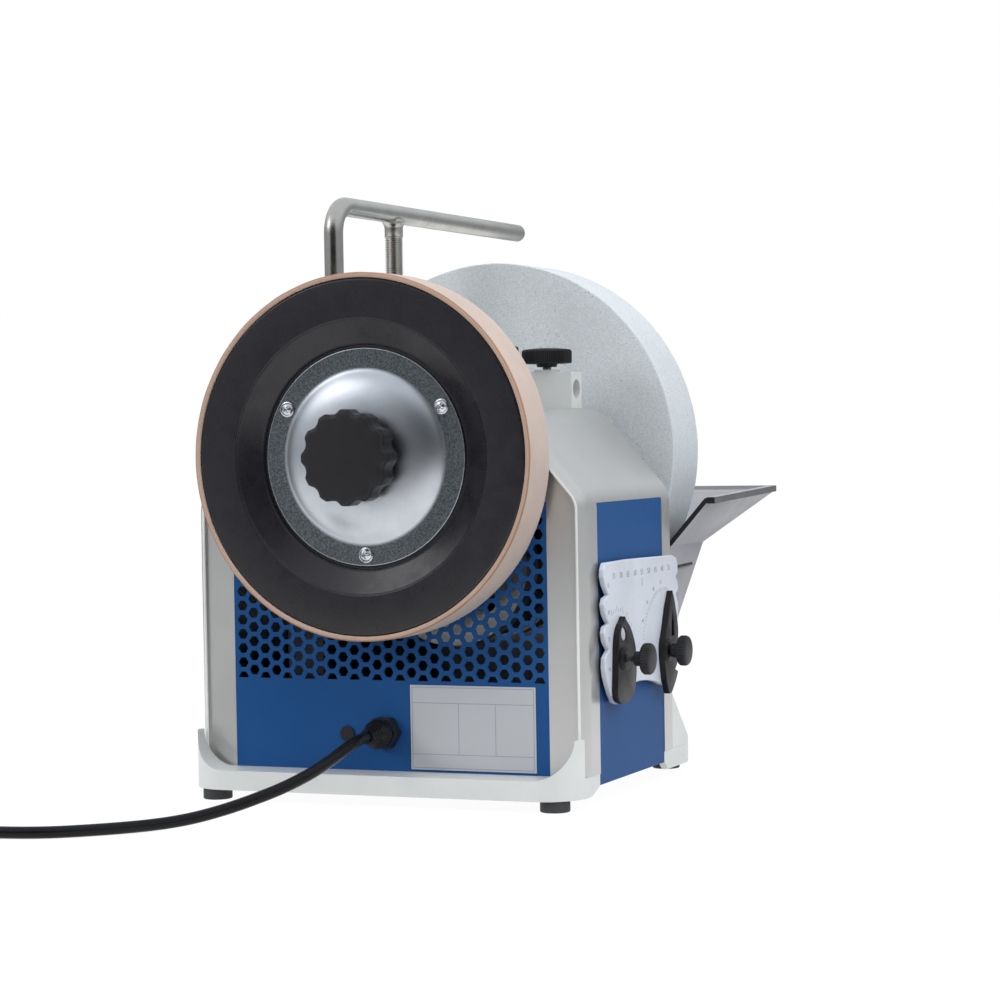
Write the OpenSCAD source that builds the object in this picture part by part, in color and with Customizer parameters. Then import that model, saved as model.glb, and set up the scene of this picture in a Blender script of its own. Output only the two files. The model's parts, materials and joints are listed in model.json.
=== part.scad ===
// Wet grinding sharpener: a slow water-cooled stone and a leather honing wheel on one shaft.
// Millimetres. The shaft runs along Y, the stone is at +Y, the honing wheel at -Y, and +Z is up.
// Modules are drawn from the shaft's line (X = 0), the honing wheel's front (Y = 0) and the bench
// (Z = 0), and placed() then moves the middle of the machine's footprint to the origin.

/* [Shaft and wheels] */
// Height of the main shaft above the bench
shaft_z = 210; // [208:0.5:212]
// Diameter of the main shaft
shaft_d = 12; // [11:0.5:13]
// Diameter of the grindstone
stone_d = 250; // [240:1:250]
// Width of the grindstone
stone_w = 50; // [44:1:50]
// Diameter of the honing wheel over its leather
honing_d = 220; // [216:1:222]
// Width of the honing wheel
honing_w = 31; // [30:0.5:31]
// Thickness of the leather tyre
leather_t = 3.3; // [2.5:0.1:4]

/* [Housing] */
// Width of the housing from side to side
body_w = 258; // [256:1:260]
// Height of the housing's flat top
body_top = 237.5; // [236:0.5:239]
// Half-width of the flat top, where the shoulders start to slope
top_half = 83; // [80:1:86]
// Height at which the shoulders meet the sides
shoulder_z = 184; // [182:1:186]
// Wall thickness of the housing casting
wall = 4.7; // [4:0.1:5]
// Thickness of the blue sheet panels
sheet = 1.5; // [1.2:0.1:2]

/* [Base] */
// Height of the base casting's underside above the bench
foot_h = 7; // [6:0.5:8]
// Height of the base casting's top
base_top = 19; // [18:0.5:20]
// Diameter of a rubber foot
foot_d = 18; // [16:0.5:20]

/* [Vents] */
// Width across the flats of one vent hole
vent_af = 6; // [5:0.1:6.4]
// Distance between neighbouring vent columns
vent_dx = 7.6; // [7.4:0.1:7.6]
// Distance between the holes of one column
vent_dz = 8.8; // [8:0.1:8.8]

/* [Tool support] */
// Diameter of the support's bar, which fits the sleeves' bores
bar_d = 12; // [11.9:0.1:12]
// Distance between the two sleeves of a pair
sleeve_pitch = 90; // [88:1:92]
// Height of the support arm's axis at rest
arm_z = 366.5; // [362:0.5:368]

/* [Hidden] */
$fn = 64;

// Middle of the footprint, seen from the shaft's line and the honing wheel's front
datum = [12, 179.5, 0];
fit = 0.05;        // radial clearance of a shaft in its bore

// Planes across the machine
front_y = 33;      // front rim of the housing
web_y = 37;        // flat front inside the rim, flush with the vent panel
web_t = 3;
rear_y = 189.5;
rear_t = 3;
stone_y = 211;
corner_r = 11;     // rounding of the housing's front corners
half_w = body_w / 2;
outer_r = 20;      // rounding of the shoulders
open_half = 104.5; // half-width of the opening behind the vent panel
open_top = 182;

// Base
lip_y = 12;
base_back = 262;
lip_r = 25;
foot_at = [[-112, 25], [112, 25], [-106, 241], [106, 241]];
back_r = 50;       // rounding of the rear corners in plan

// Side panels, let into the housing's sides
side_y = [57, 173.5];
side_z = [12, 180.5];
vent_blank_r = 86; // the vent panel is plain this close to the shaft, behind the honing wheel
pocket_x = 127;

// Honing wheel
hub_r = honing_d / 2 - leather_t;
step_r = 82;       // outer edge of the dished ring
plate_r = 65;
dome_r = 52.7;
ring_in = 80;      // inner radius of the rubber friction ring
ring_out = 84;
hub_screw_r = 58.5;

// Motor, hung below the shaft so that its spindle bears on the friction ring
spindle_r = 5.2;
motor_lean = 28;   // angle of the motor from straight below the shaft
spindle_gap = 0.3;
motor_reach = ring_in - spindle_r - spindle_gap;
motor_x = motor_reach * sin(motor_lean);
motor_z = shaft_z - motor_reach * cos(motor_lean);
pivot = [-60, 150];
pivot_r = 4;

// Switch: the rocker's axis, across from the side panel's opening
rocker_at = [-half_w + 5, 71];
pivot_pin = 3;

// Tool support
sleeve_y = [75, 75 + sleeve_pitch];
leg_x = -50;
arm_end = 381;
arm_bend = 18;
weld_l = 18;
sleeve_top = 262;
nut_h = 14;
bore_z = 250;      // axis of the horizontal bores
clamp_z = 255;     // axis of the clamp screws in the vertical sleeves
block_x = [28, 76];
block_w = 18;
block_top = 261;
knob_x = 56;

// Lock knob
knob_d = 32;
knob_h = 10;
stem_d = 6;

// Water trough: the basin, and the flared trays on two sides
basin_y = [203, 268];
basin_z = [52, 148];
tray_x = 152.6;
tray_y = 338.5;
tray_z = 179.4;
tray_dip = 4.1;    // the near end of the right tray stands lower than the far one
tray_left = -10;
trough_t = 2.5;
lip_t = 5.5;
lip_far_t = 4.5;
lip_x = 154.8;
lip_h = 4.1;

// Angle gauge on the side panel
plate_x = [131, 134.5];
pointer_x = [134.8, 138.5];
d_knob = [75, 86.5];
a_knob = [154.5, 85];

// Mains lead
cord_d = 7;
gland = [-2, 42.5];
coil_c = [-208, -206];
coil_mid_d = 80;
coil_layers = 4;
plug_flat = 13;
// Route of the lead from the gland's mouth, on the bench from about the middle, to the coil
cord_route = [[-2, 8, 42.5], [-1.6, 2, 42.5], [-2, -6, 41.5], [-3.6, -14, 39], [-6, -22, 35.5],
    [-9.5, -31, 31.3], [-14, -40, 27], [-20, -49, 22.8], [-27, -58, 18.8], [-35, -67, 15.2],
    [-44, -76, 11.6], [-53, -85, 8.6], [-62, -94, 6.2], [-71, -103, 4.6], [-80, -113, 3.8],
    [-89, -124, 3.6], [-99, -135, 3.6], [-110, -145, 3.6], [-122, -153.5, 3.6],
    [-135, -158.8, 3.6], [-149, -161.8, 3.6], [-163, -163.2, 3.6], [-178, -163.4, 3.6],
    [-193, -162.8, 3.6], [-206, -162.5, 3.6]];

// ---------- helpers ----------

module placed() translate(-datum) children();

// A profile drawn in (X, Z), standing from y0 to y1
module xz_slab(y0, y1) translate([0, y1, 0]) rotate([90, 0, 0]) linear_extrude(y1 - y0) children();

// A profile drawn in (Y, Z), standing from x0 to x1
module yz_slab(x0, x1) translate([x0, 0, 0]) rotate([90, 0, 90]) linear_extrude(x1 - x0) children();

// Turns a solid made along +Z to run along +Y from (x, y, z)
module along_y(x, y, z) translate([x, y, z]) rotate([-90, 0, 0]) children();

// The same along +X and -X
module along_x(x, y, z) translate([x, y, z]) rotate([0, 90, 0]) children();
module along_neg_x(x, y, z) translate([x, y, z]) rotate([0, -90, 0]) children();

// A box between two corners
module box(a, b) translate(a) cube(b - a);

function unit(v) = v / norm(v);
function shorter(a) = (a + 540) % 360 - 180;

// The inward bisector at corner b of a path a-b-c, and half the angle there
function inward(a, b, c) = unit(unit(a - b) + unit(c - b));
function half_angle(a, b, c) = acos(unit(a - b) * unit(c - b)) / 2;

// Points of the corner at b, rounded to radius r
function rounded(a, b, c, r, n = 6) =
    let (h = half_angle(a, b, c),
         centre = b + inward(a, b, c) * r / sin(h),
         p = b + unit(a - b) * r / tan(h) - centre,
         q = b + unit(c - b) * r / tan(h) - centre,
         start = atan2(p.y, p.x),
         turn = shorter(atan2(q.y, q.x) - start))
    [for (i = [0:n]) centre + r * [cos(start + turn * i / n), sin(start + turn * i / n)]];

// Right half of the housing's outline, set in by t, from the bottom to the top's middle
function half_outline(t) =
    let (foot = [half_w, base_top], side = [half_w, shoulder_z],
         top = [top_half, body_top], mid = [0, body_top],
         s = side + inward(foot, side, top) * t / sin(half_angle(foot, side, top)),
         u = top + inward(side, top, mid) * t / sin(half_angle(side, top, mid)))
    concat([[half_w - t, base_top]],
        rounded([half_w - t, base_top], s, u, outer_r - t),
        rounded(s, u, [0, body_top - t], outer_r - t));

// The whole outline, both halves
module portal(t) {
    right = half_outline(t);
    left = [for (i = [len(right) - 1:-1:0]) [-right[i].x, right[i].y]];
    polygon(concat(right, left));
}

// ---------- housing ----------

// Plan of the housing, with its front corners rounded
module body_plan() {
    translate([-half_w, front_y + corner_r]) square([body_w, rear_y - front_y - corner_r]);
    translate([-half_w + corner_r, front_y]) square([body_w - 2 * corner_r, corner_r + 1]);
    for (x = [-half_w + corner_r, half_w - corner_r])
        translate([x, front_y + corner_r]) circle(corner_r);
}

module housing_shell() color("silver") placed() difference() {
    intersection() {
        linear_extrude(body_top + 1) body_plan();
        union() {
            xz_slab(front_y, rear_y) difference() {
                portal(0);
                portal(wall);
                translate([-half_w + wall, base_top - 1]) square([body_w - 2 * wall, 2]);
            }
            xz_slab(web_y, web_y + web_t) difference() {
                portal(wall - 0.5);
                translate([-open_half, 0]) square([2 * open_half, open_top]);
            }
        }
    }
    for (x = [pocket_x, -half_w - 1])
        box([x, side_y[0], 0], [x + half_w + 1 - pocket_x, side_y[1], side_z[1]]);
    along_y(0, web_y - 1, shaft_z) cylinder(d = 20, h = web_t + 2);
    for (y = sleeve_y) translate([leg_x, y, body_top - wall - 1]) cylinder(d = 24, h = wall + 2);
    box([-half_w - 1, 100, 60], [-half_w + wall + 1, 128, 82]);
}

// Plan of the base casting
module base_plan(inset = 0) hull() for (s = [-1, 1]) {
    translate([s * (half_w - 0.5 - lip_r), lip_y + lip_r]) circle(lip_r - inset);
    translate([s * (half_w - 0.5 - back_r), base_back - back_r]) circle(back_r - inset);
}

// Side view of a front corner, scooped up from the lip to the post
module corner_scoop() {
    scoop_r = 23;
    for (s = [-1, 1]) scale_x(s) difference() {
        translate([102, base_top - 1]) square([half_w - 102, scoop_r + 1]);
        translate([102, base_top + scoop_r]) circle(scoop_r);
    }
}

// Mirrors its child across X = 0 when s is -1
module scale_x(s) mirror([s < 0 ? 1 : 0, 0, 0]) children();

module base_frame() color("gainsboro") placed() {
    difference() {
        linear_extrude(base_top) base_plan();
        translate([0, 0, -1]) linear_extrude(foot_h + 1) square(600, center = true);
        difference() {
            translate([0, 0, foot_h - 1]) linear_extrude(base_top - foot_h - 3) base_plan(4.5);
            for (p = foot_at) translate([p.x, p.y, 0]) cylinder(d = foot_d + 2, h = base_top);
        }
        for (p = foot_at) translate([p.x, p.y, 0]) cylinder(d = 4, h = base_top - 2);
        for (s = [-1, 1]) scale_x(s) {
            box([pocket_x, side_y[0], 0], [half_w + 1, side_y[1], base_top + 1]);
            yz_slab(110, half_w + 1)
                polygon([[40, foot_h - 1], [side_y[0], side_z[0]], [174, side_z[0]], [182, foot_h - 1]]);
        }
    }
    intersection() {
        translate([0, 0, base_top - 1]) linear_extrude(30) base_plan();
        xz_slab(lip_y, front_y) corner_scoop();
    }
    // Rear cheeks that brace the base against the housing
    for (s = [-1, 1]) scale_x(s) yz_slab(half_w - 6, half_w - 1)
        polygon([[rear_y, base_top - 1], [rear_y, 56.5], [222, 24], [222, base_top - 1]]);
}

module rubber_feet() color("dimgray") placed() for (p = foot_at) translate([p.x, p.y, 0])
    difference() {
        cylinder(d = foot_d, h = foot_h);
        translate([0, 0, -1]) cylinder(d = 9, h = 4);
        cylinder(d = 4, h = foot_h + 1);
    }

module foot_screws() color("gray") placed() for (p = foot_at) translate([p.x, p.y, 0]) {
    translate([0, 0, 0.8]) cylinder(d = 8, h = 2.2);
    translate([0, 0, 3]) cylinder(d = 3.9, h = base_top - 6);
}

module rear_wall() color("lightgray") placed() difference() {
    xz_slab(rear_y - rear_t, rear_y) difference() {
        portal(wall + fit);
        translate([-half_w, 0]) square([body_w, base_top + fit]);
    }
    along_y(0, rear_y - rear_t - 1, shaft_z) cylinder(d = 20, h = rear_t + 2);
    for (x = [-100, 100]) along_y(x, rear_y - rear_t - 1, 138) cylinder(d = 8, h = rear_t + 2);
}

// Rows and columns of the honeycomb
module honeycomb() {
    for (c = [-13:13], k = [0:11])
        translate([c * vent_dx, 79 + k * vent_dz - (c % 2 == 0 ? 0 : vent_dz / 2)])
            if (norm([c * vent_dx, 79 + k * vent_dz - shaft_z]) > vent_blank_r)
                circle(r = vent_af / 2 / cos(30), $fn = 6);
}

module vent_panel() color("royalblue") placed() xz_slab(web_y, web_y + sheet) difference() {
    translate([-open_half + fit, base_top + fit])
        square([2 * (open_half - fit), open_top - base_top - 2 * fit]);
    intersection() {
        honeycomb();
        translate([-open_half, 74]) square([2 * open_half, 200]);
    }
    translate(gland) circle(d = 16);
    translate([-28, 41]) circle(d = 8);
    translate([motor_x, motor_z]) circle(d = 16);
    translate([motor_x - 8, motor_z]) square([16, 6]);
    translate([motor_x, motor_z + 6]) circle(d = 16);
}

module side_panel(s) placed() scale_x(s)
    box([pocket_x, side_y[0] + fit, side_z[0]], [half_w - 0.5, side_y[1] - fit, side_z[1] - fit]);

module side_panel_right() color("royalblue") side_panel(1);

module side_panel_left() color("royalblue") difference() {
    side_panel(-1);
    placed() box([-half_w - 1, 100, 60], [-pocket_x + 1, 128, 82]);
}

module rating_plate() color("lightgray") placed()
    box([14.3, web_y - 0.4, 20.5], [96, web_y, 71.7]);

module blanking_plug() color("black") placed() along_y(-28, web_y - 1.2, 41) {
    cylinder(d = 9.5, h = 1.2);
    cylinder(d = 8 - 2 * fit, h = 4);
}

module shaft_bushings() color("ivory") placed() {
    along_y(0, web_y - 2, shaft_z) bushing();
    along_y(0, rear_y + 2, shaft_z) mirror([0, 0, 1]) bushing();
}

module bushing() difference() {
    union() {
        cylinder(d = 28, h = 2);
        cylinder(d = 20, h = 15);
    }
    translate([0, 0, -1]) cylinder(d = shaft_d + 2 * fit, h = 17);
}

// ---------- sleeves of the tool support ----------

module horizontal_sleeves() color("silver") placed() for (y = sleeve_y) difference() {
    union() {
        box([block_x[0], y - block_w / 2, body_top], [block_x[1], y + block_w / 2, block_top]);
        translate([knob_x, y, block_top]) cylinder(d = 17, h = 1.5);
    }
    along_x(block_x[0] + 5, y, bore_z) cylinder(d = bar_d + 2 * fit, h = 60);
    translate([knob_x, y, bore_z]) cylinder(d = stem_d + 2 * fit, h = 20);
}

module vertical_sleeves() color("silver") placed() for (y = sleeve_y) difference() {
    union() {
        translate([leg_x, y, 200]) cylinder(d = 24, h = sleeve_top - 200);
        along_neg_x(leg_x, y, clamp_z) cylinder(d = 13, h = 15);
    }
    translate([leg_x, y, 199]) cylinder(d = bar_d + 2 * fit, h = 70);
    along_neg_x(leg_x, y, clamp_z) cylinder(d = stem_d + 2 * fit, h = 20);
}

// A knurled hand knob with its stem down to -reach, on its own +Z
module lock_knob(reach) {
    translate([0, 0, -reach]) cylinder(d = stem_d, h = reach + 1);
    translate([0, 0, 0]) difference() {
        cylinder(d = knob_d, h = knob_h);
        for (a = [0:15:345]) rotate(a)
            translate([knob_d / 2 + 0.8, 0, -1]) cylinder(r = 1.6, h = knob_h + 2);
    }
}

module horizontal_knob(i) color("black") placed()
    translate([knob_x, sleeve_y[i], block_top + 5.5]) lock_knob(9.5);

module vertical_knob(i) color("black") placed()
    along_neg_x(leg_x - 19, sleeve_y[i], clamp_z) lock_knob(12);

module lock_knob_horizontal_near() horizontal_knob(0);
module lock_knob_horizontal_far() horizontal_knob(1);
module lock_knob_vertical_near() vertical_knob(0);
module lock_knob_vertical_far() vertical_knob(1);

module tool_support() color("silver") placed() translate([leg_x, 0, 0]) {
    near = sleeve_y[0];
    far = sleeve_y[1];
    translate([0, near, 205]) cylinder(d = bar_d, h = arm_z - arm_bend - 205);
    translate([0, near + arm_bend, arm_z - arm_bend]) rotate([0, -90, 180])
        rotate_extrude(angle = 90) translate([arm_bend, 0]) circle(d = bar_d);
    along_y(0, near + arm_bend, arm_z) {
        cylinder(d = bar_d, h = arm_end - near - arm_bend - 2);
        cylinder(d = bar_d - 4, h = arm_end - near - arm_bend);
    }
    translate([0, far, 205]) cylinder(d = bar_d, h = arm_z - 205);
    translate([0, far, arm_z - bar_d / 2 - 2.5]) cylinder(d1 = bar_d, d2 = bar_d + 4, h = 4);
    // Weld bead round the arm where the threaded leg meets it
    along_y(0, far - weld_l / 2, arm_z) cylinder(d = bar_d + 0.4, h = weld_l);
}

module adjusting_nut() color("black") placed() translate([leg_x, sleeve_y[1], sleeve_top + 0.2])
    difference() {
        union() {
            cylinder(d = 30, h = nut_h);
            cylinder(d = 22, h = nut_h + 3);
        }
        translate([0, 0, -1]) cylinder(d = bar_d + 2 * fit, h = nut_h + 5);
        for (a = [0:20:340]) rotate(a) translate([16, 0, 2]) cylinder(r = 2, h = nut_h);
    }

// ---------- shaft, honing wheel and stone ----------

module main_shaft() color("lightgray") placed() {
    along_y(0, -13, shaft_z) cylinder(d = shaft_d, h = 292);
    for (y = [50.5, 173]) along_y(0, y, shaft_z) cylinder(d = 18, h = 1.5);
}

module honing_hub() color("dimgray") placed() along_y(0, 0, shaft_z) difference() {
    rotate_extrude() polygon([[6, 12], [40, 12], [40, 10.2], [plate_r + 1, 10.2], [plate_r + 2, 8.5],
        [step_r, 1.8], [step_r + 1, 0.6], [hub_r - 1, 0.6], [hub_r, 1.6], [hub_r, honing_w - 0.5],
        [hub_r - 5, honing_w - 0.5], [hub_r - 5, 6], [ring_out + 4, 6], [ring_out + 4, honing_w - 1],
        [ring_out, honing_w - 1], [ring_out, 8], [plate_r + 4, 14.5], [14, 15.5], [14, honing_w],
        [6, honing_w]]);
    for (a = [30, 150, 270]) rotate(-a) translate([hub_screw_r, 0, 5]) cylinder(d = 4, h = 12);
}

module leather_tyre() color("burlywood") placed() along_y(0, 0, shaft_z) difference() {
    cylinder(d = honing_d, h = honing_w, $fn = 128);
    translate([0, 0, -1]) cylinder(r = hub_r, h = honing_w + 2, $fn = 128);
}

module friction_ring() color("black") placed() along_y(0, 15, shaft_z) difference() {
    cylinder(r = ring_out, h = 14);
    translate([0, 0, -1]) cylinder(r = ring_in, h = 16);
}

module cover_plate() color("silver") placed() along_y(0, 0, shaft_z) difference() {
    rotate_extrude() polygon([[6, 0.5], [24, 0.5], [36, 2], [44, 4.2], [50, 7.2], [dome_r, 8.7],
        [plate_r, 8.7], [plate_r, 10.2], [dome_r - 0.5, 10.2], [49, 8.9], [43, 5.9], [35.5, 3.6],
        [24, 2.1], [6, 2.1]]);
    for (a = [30, 150, 270]) rotate(-a) translate([hub_screw_r, 0, 5]) cylinder(d = 4, h = 12);
}

module cover_screws() color("silver") placed() along_y(0, 0, shaft_z)
    for (a = [30, 150, 270]) rotate(-a) translate([hub_screw_r, 0, 0]) {
        translate([0, 0, 5.8]) difference() {
            cylinder(d = 9.5, h = 2.9);
            for (t = [0, 90]) rotate(t) translate([-2.4, -0.5, -1]) cube([4.8, 1, 2.6]);
        }
        translate([0, 0, 8.7]) cylinder(d = 3.9, h = 7);
    }

module honing_knob() color("black") placed() along_y(0, -22, shaft_z) difference() {
    union() {
        cylinder(r = 28.5, h = 17);
        cylinder(r = 15, h = 22.2);
    }
    for (a = [0:30:330]) rotate(a + 15) translate([32.6, 0, -1]) cylinder(r = 6.4, h = 19);
    translate([0, 0, 8]) cylinder(d = shaft_d + 2 * fit, h = 20);
}

module stone_flanges() color("silver") placed() {
    along_y(0, stone_y - 4, shaft_z) flange();
    along_y(0, stone_y + stone_w, shaft_z) flange();
    // Spacer between the rear bushing and the inner flange
    along_y(0, rear_y + 2.3, shaft_z) difference() {
        cylinder(d = 20, h = stone_y - 4 - rear_y - 2.3);
        translate([0, 0, -1]) cylinder(d = shaft_d, h = 30);
    }
}

module flange() difference() {
    cylinder(d = 52, h = 4);
    translate([0, 0, -1]) cylinder(d = shaft_d, h = 6);
}

module grindstone() color("lightsteelblue") placed() along_y(0, stone_y, shaft_z) difference() {
    cylinder(d = stone_d, h = stone_w, $fn = 128);
    translate([0, 0, -1]) cylinder(d = shaft_d, h = stone_w + 2);
}

module stone_nut() color("silver") placed() along_y(0, stone_y + stone_w + 4.1, shaft_z)
    difference() {
        cylinder(d = 36, h = 14);
        for (a = [0:45:315]) rotate(a) translate([20.5, 0, -1]) cylinder(r = 5, h = 16);
        translate([0, 0, -1]) cylinder(d = shaft_d + 2 * fit, h = 16);
    }

// ---------- motor ----------

module motor_axis(y) along_y(motor_x, y, motor_z) children();

module motor_stator() color("gray") placed() motor_axis(72) difference() {
    cylinder(d = 96, h = 46);
    translate([0, 0, -1]) cylinder(d = 50, h = 48);
}

module motor_end_bells() color("silver") placed() {
    motor_axis(54) end_bell();
    motor_axis(136) mirror([0, 0, 1]) end_bell();
}

// A cup that closes one end of the motor and carries a bearing
module end_bell() difference() {
    cylinder(d = 100, h = 18);
    translate([0, 0, 4]) cylinder(d = 90, h = 15);
    translate([0, 0, -1]) cylinder(d = 10 + 2 * fit, h = 6);
    for (a = [45:90:315]) rotate(a) translate([32, 0, -1]) cylinder(d = 14, h = 6);
}

module motor_cradle() color("dimgray") placed() {
    xz_slab(50, 54) cradle_plate();
    xz_slab(136, 140) cradle_plate();
    // Tube between the plates, round the pivot pin
    along_y(pivot.x, 54, pivot.y) difference() {
        cylinder(r = pivot_r + 3, h = 82);
        translate([0, 0, -1]) cylinder(r = pivot_r + fit, h = 84);
    }
}

module cradle_plate() difference() {
    union() {
        translate(pivot) circle(r = 10);
        translate([motor_x, motor_z]) circle(r = 24);
        polygon([pivot + [0, 10], pivot - [0, 10], [motor_x, motor_z - 20], [motor_x, motor_z + 20]]);
    }
    translate(pivot) circle(r = pivot_r + fit);
    translate([motor_x, motor_z]) circle(r = 8);
}

// U-shaped bracket on the base, with the pin that the motor swings on
module pivot_bracket() color("dimgray") placed() {
    for (y = [46, 140.3]) xz_slab(y, y + 3.7) {
        translate([pivot.x - 12, base_top]) square([24, pivot.y - base_top]);
        translate(pivot) circle(r = 12);
    }
    box([pivot.x - 12, 46, base_top], [pivot.x + 12, 144, base_top + 3]);
    along_y(pivot.x, 46, pivot.y) cylinder(r = pivot_r, h = 98);
}

module rotor_spindle() color("silver") placed() {
    motor_axis(17) cylinder(r = spindle_r, h = 36.5);
    motor_axis(17) cylinder(d = 10, h = 142);
}

module rotor_core() color("darkgray") placed() motor_axis(74) difference() {
    cylinder(d = 48.6, h = 42);
    translate([0, 0, -1]) cylinder(d = 10, h = 44);
}

module motor_fan() color("black") placed() motor_axis(146) {
    difference() {
        cylinder(d = 24, h = 12);
        translate([0, 0, -1]) cylinder(d = 10, h = 14);
    }
    difference() {
        cylinder(d = 88, h = 2);
        translate([0, 0, -1]) cylinder(d = 23, h = 4);
    }
    for (a = [0:36:324]) rotate(a) translate([11.5, -1, 1.5]) cube([31, 2, 10]);
}

// ---------- electrical parts ----------

module capacitor() color("white") placed() along_y(-98, 70, 38) {
    cylinder(d = 34, h = 62);
    translate([0, 0, -6]) cylinder(d = 12, h = 7);
    translate([-17, 9, 10]) cube([34, 38 - base_top - 9, 8]);
}

module terminal_block() color("ivory") placed() difference() {
    box([-40, 70, base_top], [20, 88, base_top + 16]);
    for (x = [-34:12:14]) translate([x, 79, base_top + 6]) cylinder(d = 5, h = 12);
}

module switch_body() color("black") placed() {
    difference() {
        box([-half_w - 1.5, 96, 56], [-half_w + 0.5, 132, 86]);
        box([-half_w - 3, 102, 62], [-half_w + 2, 126, 80]);
    }
    difference() {
        box([-half_w + 0.5, 100.1, 60.1], [-half_w + 26, 127.9, 81.9]);
        box([-half_w, 102, 62], [-half_w + 14, 126, 80]);
        rocker_pin(pivot_pin / 2 + fit);
    }
}

// The pin that the rocker tilts on, let into the switch body's sides
module rocker_pin(r) along_y(rocker_at.x, 101, rocker_at.y) cylinder(r = r, h = 26);

module switch_rocker() color("firebrick") placed() {
    translate([rocker_at.x, 114, rocker_at.y]) rotate([0, -10, 0]) intersection() {
        box([-12, -11.7, -7.2], [4, 11.7, 7.2]);
        rotate([90, 0, 0]) translate([6, 0, -12]) cylinder(r = 17, h = 24);
    }
    rocker_pin(pivot_pin / 2);
}

// ---------- mains lead ----------

module gland_body() color("black") placed() along_y(gland.x, 0, gland.y) difference() {
    union() {
        translate([0, 0, web_y - 9]) cylinder(d = 21, h = 9, $fn = 6);
        translate([0, 0, web_y - 9]) cylinder(d = 15.8, h = 20);
        translate([0, 0, web_y + sheet]) cylinder(d = 24, h = 4, $fn = 6);
    }
    cylinder(d = cord_d, h = 60);
}

module strain_relief() color("black") placed() along_y(gland.x, 8, gland.y) difference() {
    rotate_extrude() polygon([[0, 0], [4.6, 0], [5.4, 6], [7, 12], [9.2, 15], [9.2, 20], [0, 20]]);
    translate([0, 0, 1]) cylinder(d = cord_d, h = 30);
}

// The lead's tube: a ring of points at each place on the route, square to its direction
function route_dir(i) = unit(cord_route[min(i + 1, len(cord_route) - 1)] - cord_route[max(i - 1, 0)]);
function ring_at(i, sides) =
    let (d = route_dir(i), side = unit(cross([0, 0, 1], d)), up = cross(d, side))
    [for (k = [0:sides - 1])
        cord_route[i] + cord_d / 2 * (cos(360 * k / sides) * side + sin(360 * k / sides) * up)];

module power_cord() color("black") placed() {
    sides = 10;
    rings = len(cord_route);
    last = (rings - 1) * sides;
    points = [for (i = [0:rings - 1]) each ring_at(i, sides)];
    skin = [for (i = [0:rings - 2], k = [0:sides - 1])
        [i * sides + k, i * sides + (k + 1) % sides,
         (i + 1) * sides + (k + 1) % sides, (i + 1) * sides + k]];
    polyhedron(points, concat([[for (k = [sides - 1:-1:0]) k]], skin, [[for (k = [0:sides - 1]) last + k]]));
}

module cord_coil() color("black") placed() translate([coil_c.x, coil_c.y, 0.1])
    rotate_extrude() translate([coil_mid_d / 2 - cord_d, 0])
        square([2 * cord_d, coil_layers * cord_d]);

module cord_tie() color("gray") placed() translate([coil_c.x, coil_c.y, 0]) rotate(40)
    difference() {
        box([coil_mid_d / 2 - cord_d - 1.5, -4, 0],
            [coil_mid_d / 2 + cord_d + 1.5, 4, coil_layers * cord_d + 1.6]);
        box([coil_mid_d / 2 - cord_d - 0.2, -5, -1],
            [coil_mid_d / 2 + cord_d + 0.2, 5, coil_layers * cord_d + 0.2]);
    }

// A round-pin plug that lies across the top of the coil, flattened above and below
module mains_plug() color("black") placed()
    translate([coil_c.x, coil_c.y, coil_layers * cord_d + plug_flat + 0.3]) rotate(25)
        translate([5, -20, 0]) {
            intersection() {
                rotate([0, 90, 0]) rotate_extrude()
                    polygon([[0, -34], [4.6, -34], [5.2, -20], [11, -10], [17, 4], [18.5, 12], [0, 12]]);
                box([-40, -30, -plug_flat], [40, 30, plug_flat]);
            }
            for (y = [-9.5, 9.5]) along_x(11, y, 0) cylinder(d = 4.8, h = 20);
        }

// ---------- water trough ----------

// Outline of the basin in (X, Z)
function basin(t) =
    let (brim = basin_z[1] + (t > 0 ? 5 : 0), deep = basin_z[0] + t)
    [[125 - t, brim], [106 - t, 96], [101 - t, 82], [80 - t / 2, deep],
     [-80 + t / 2, deep], [-108 + t, 96], [-123 + t, brim]];

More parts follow.
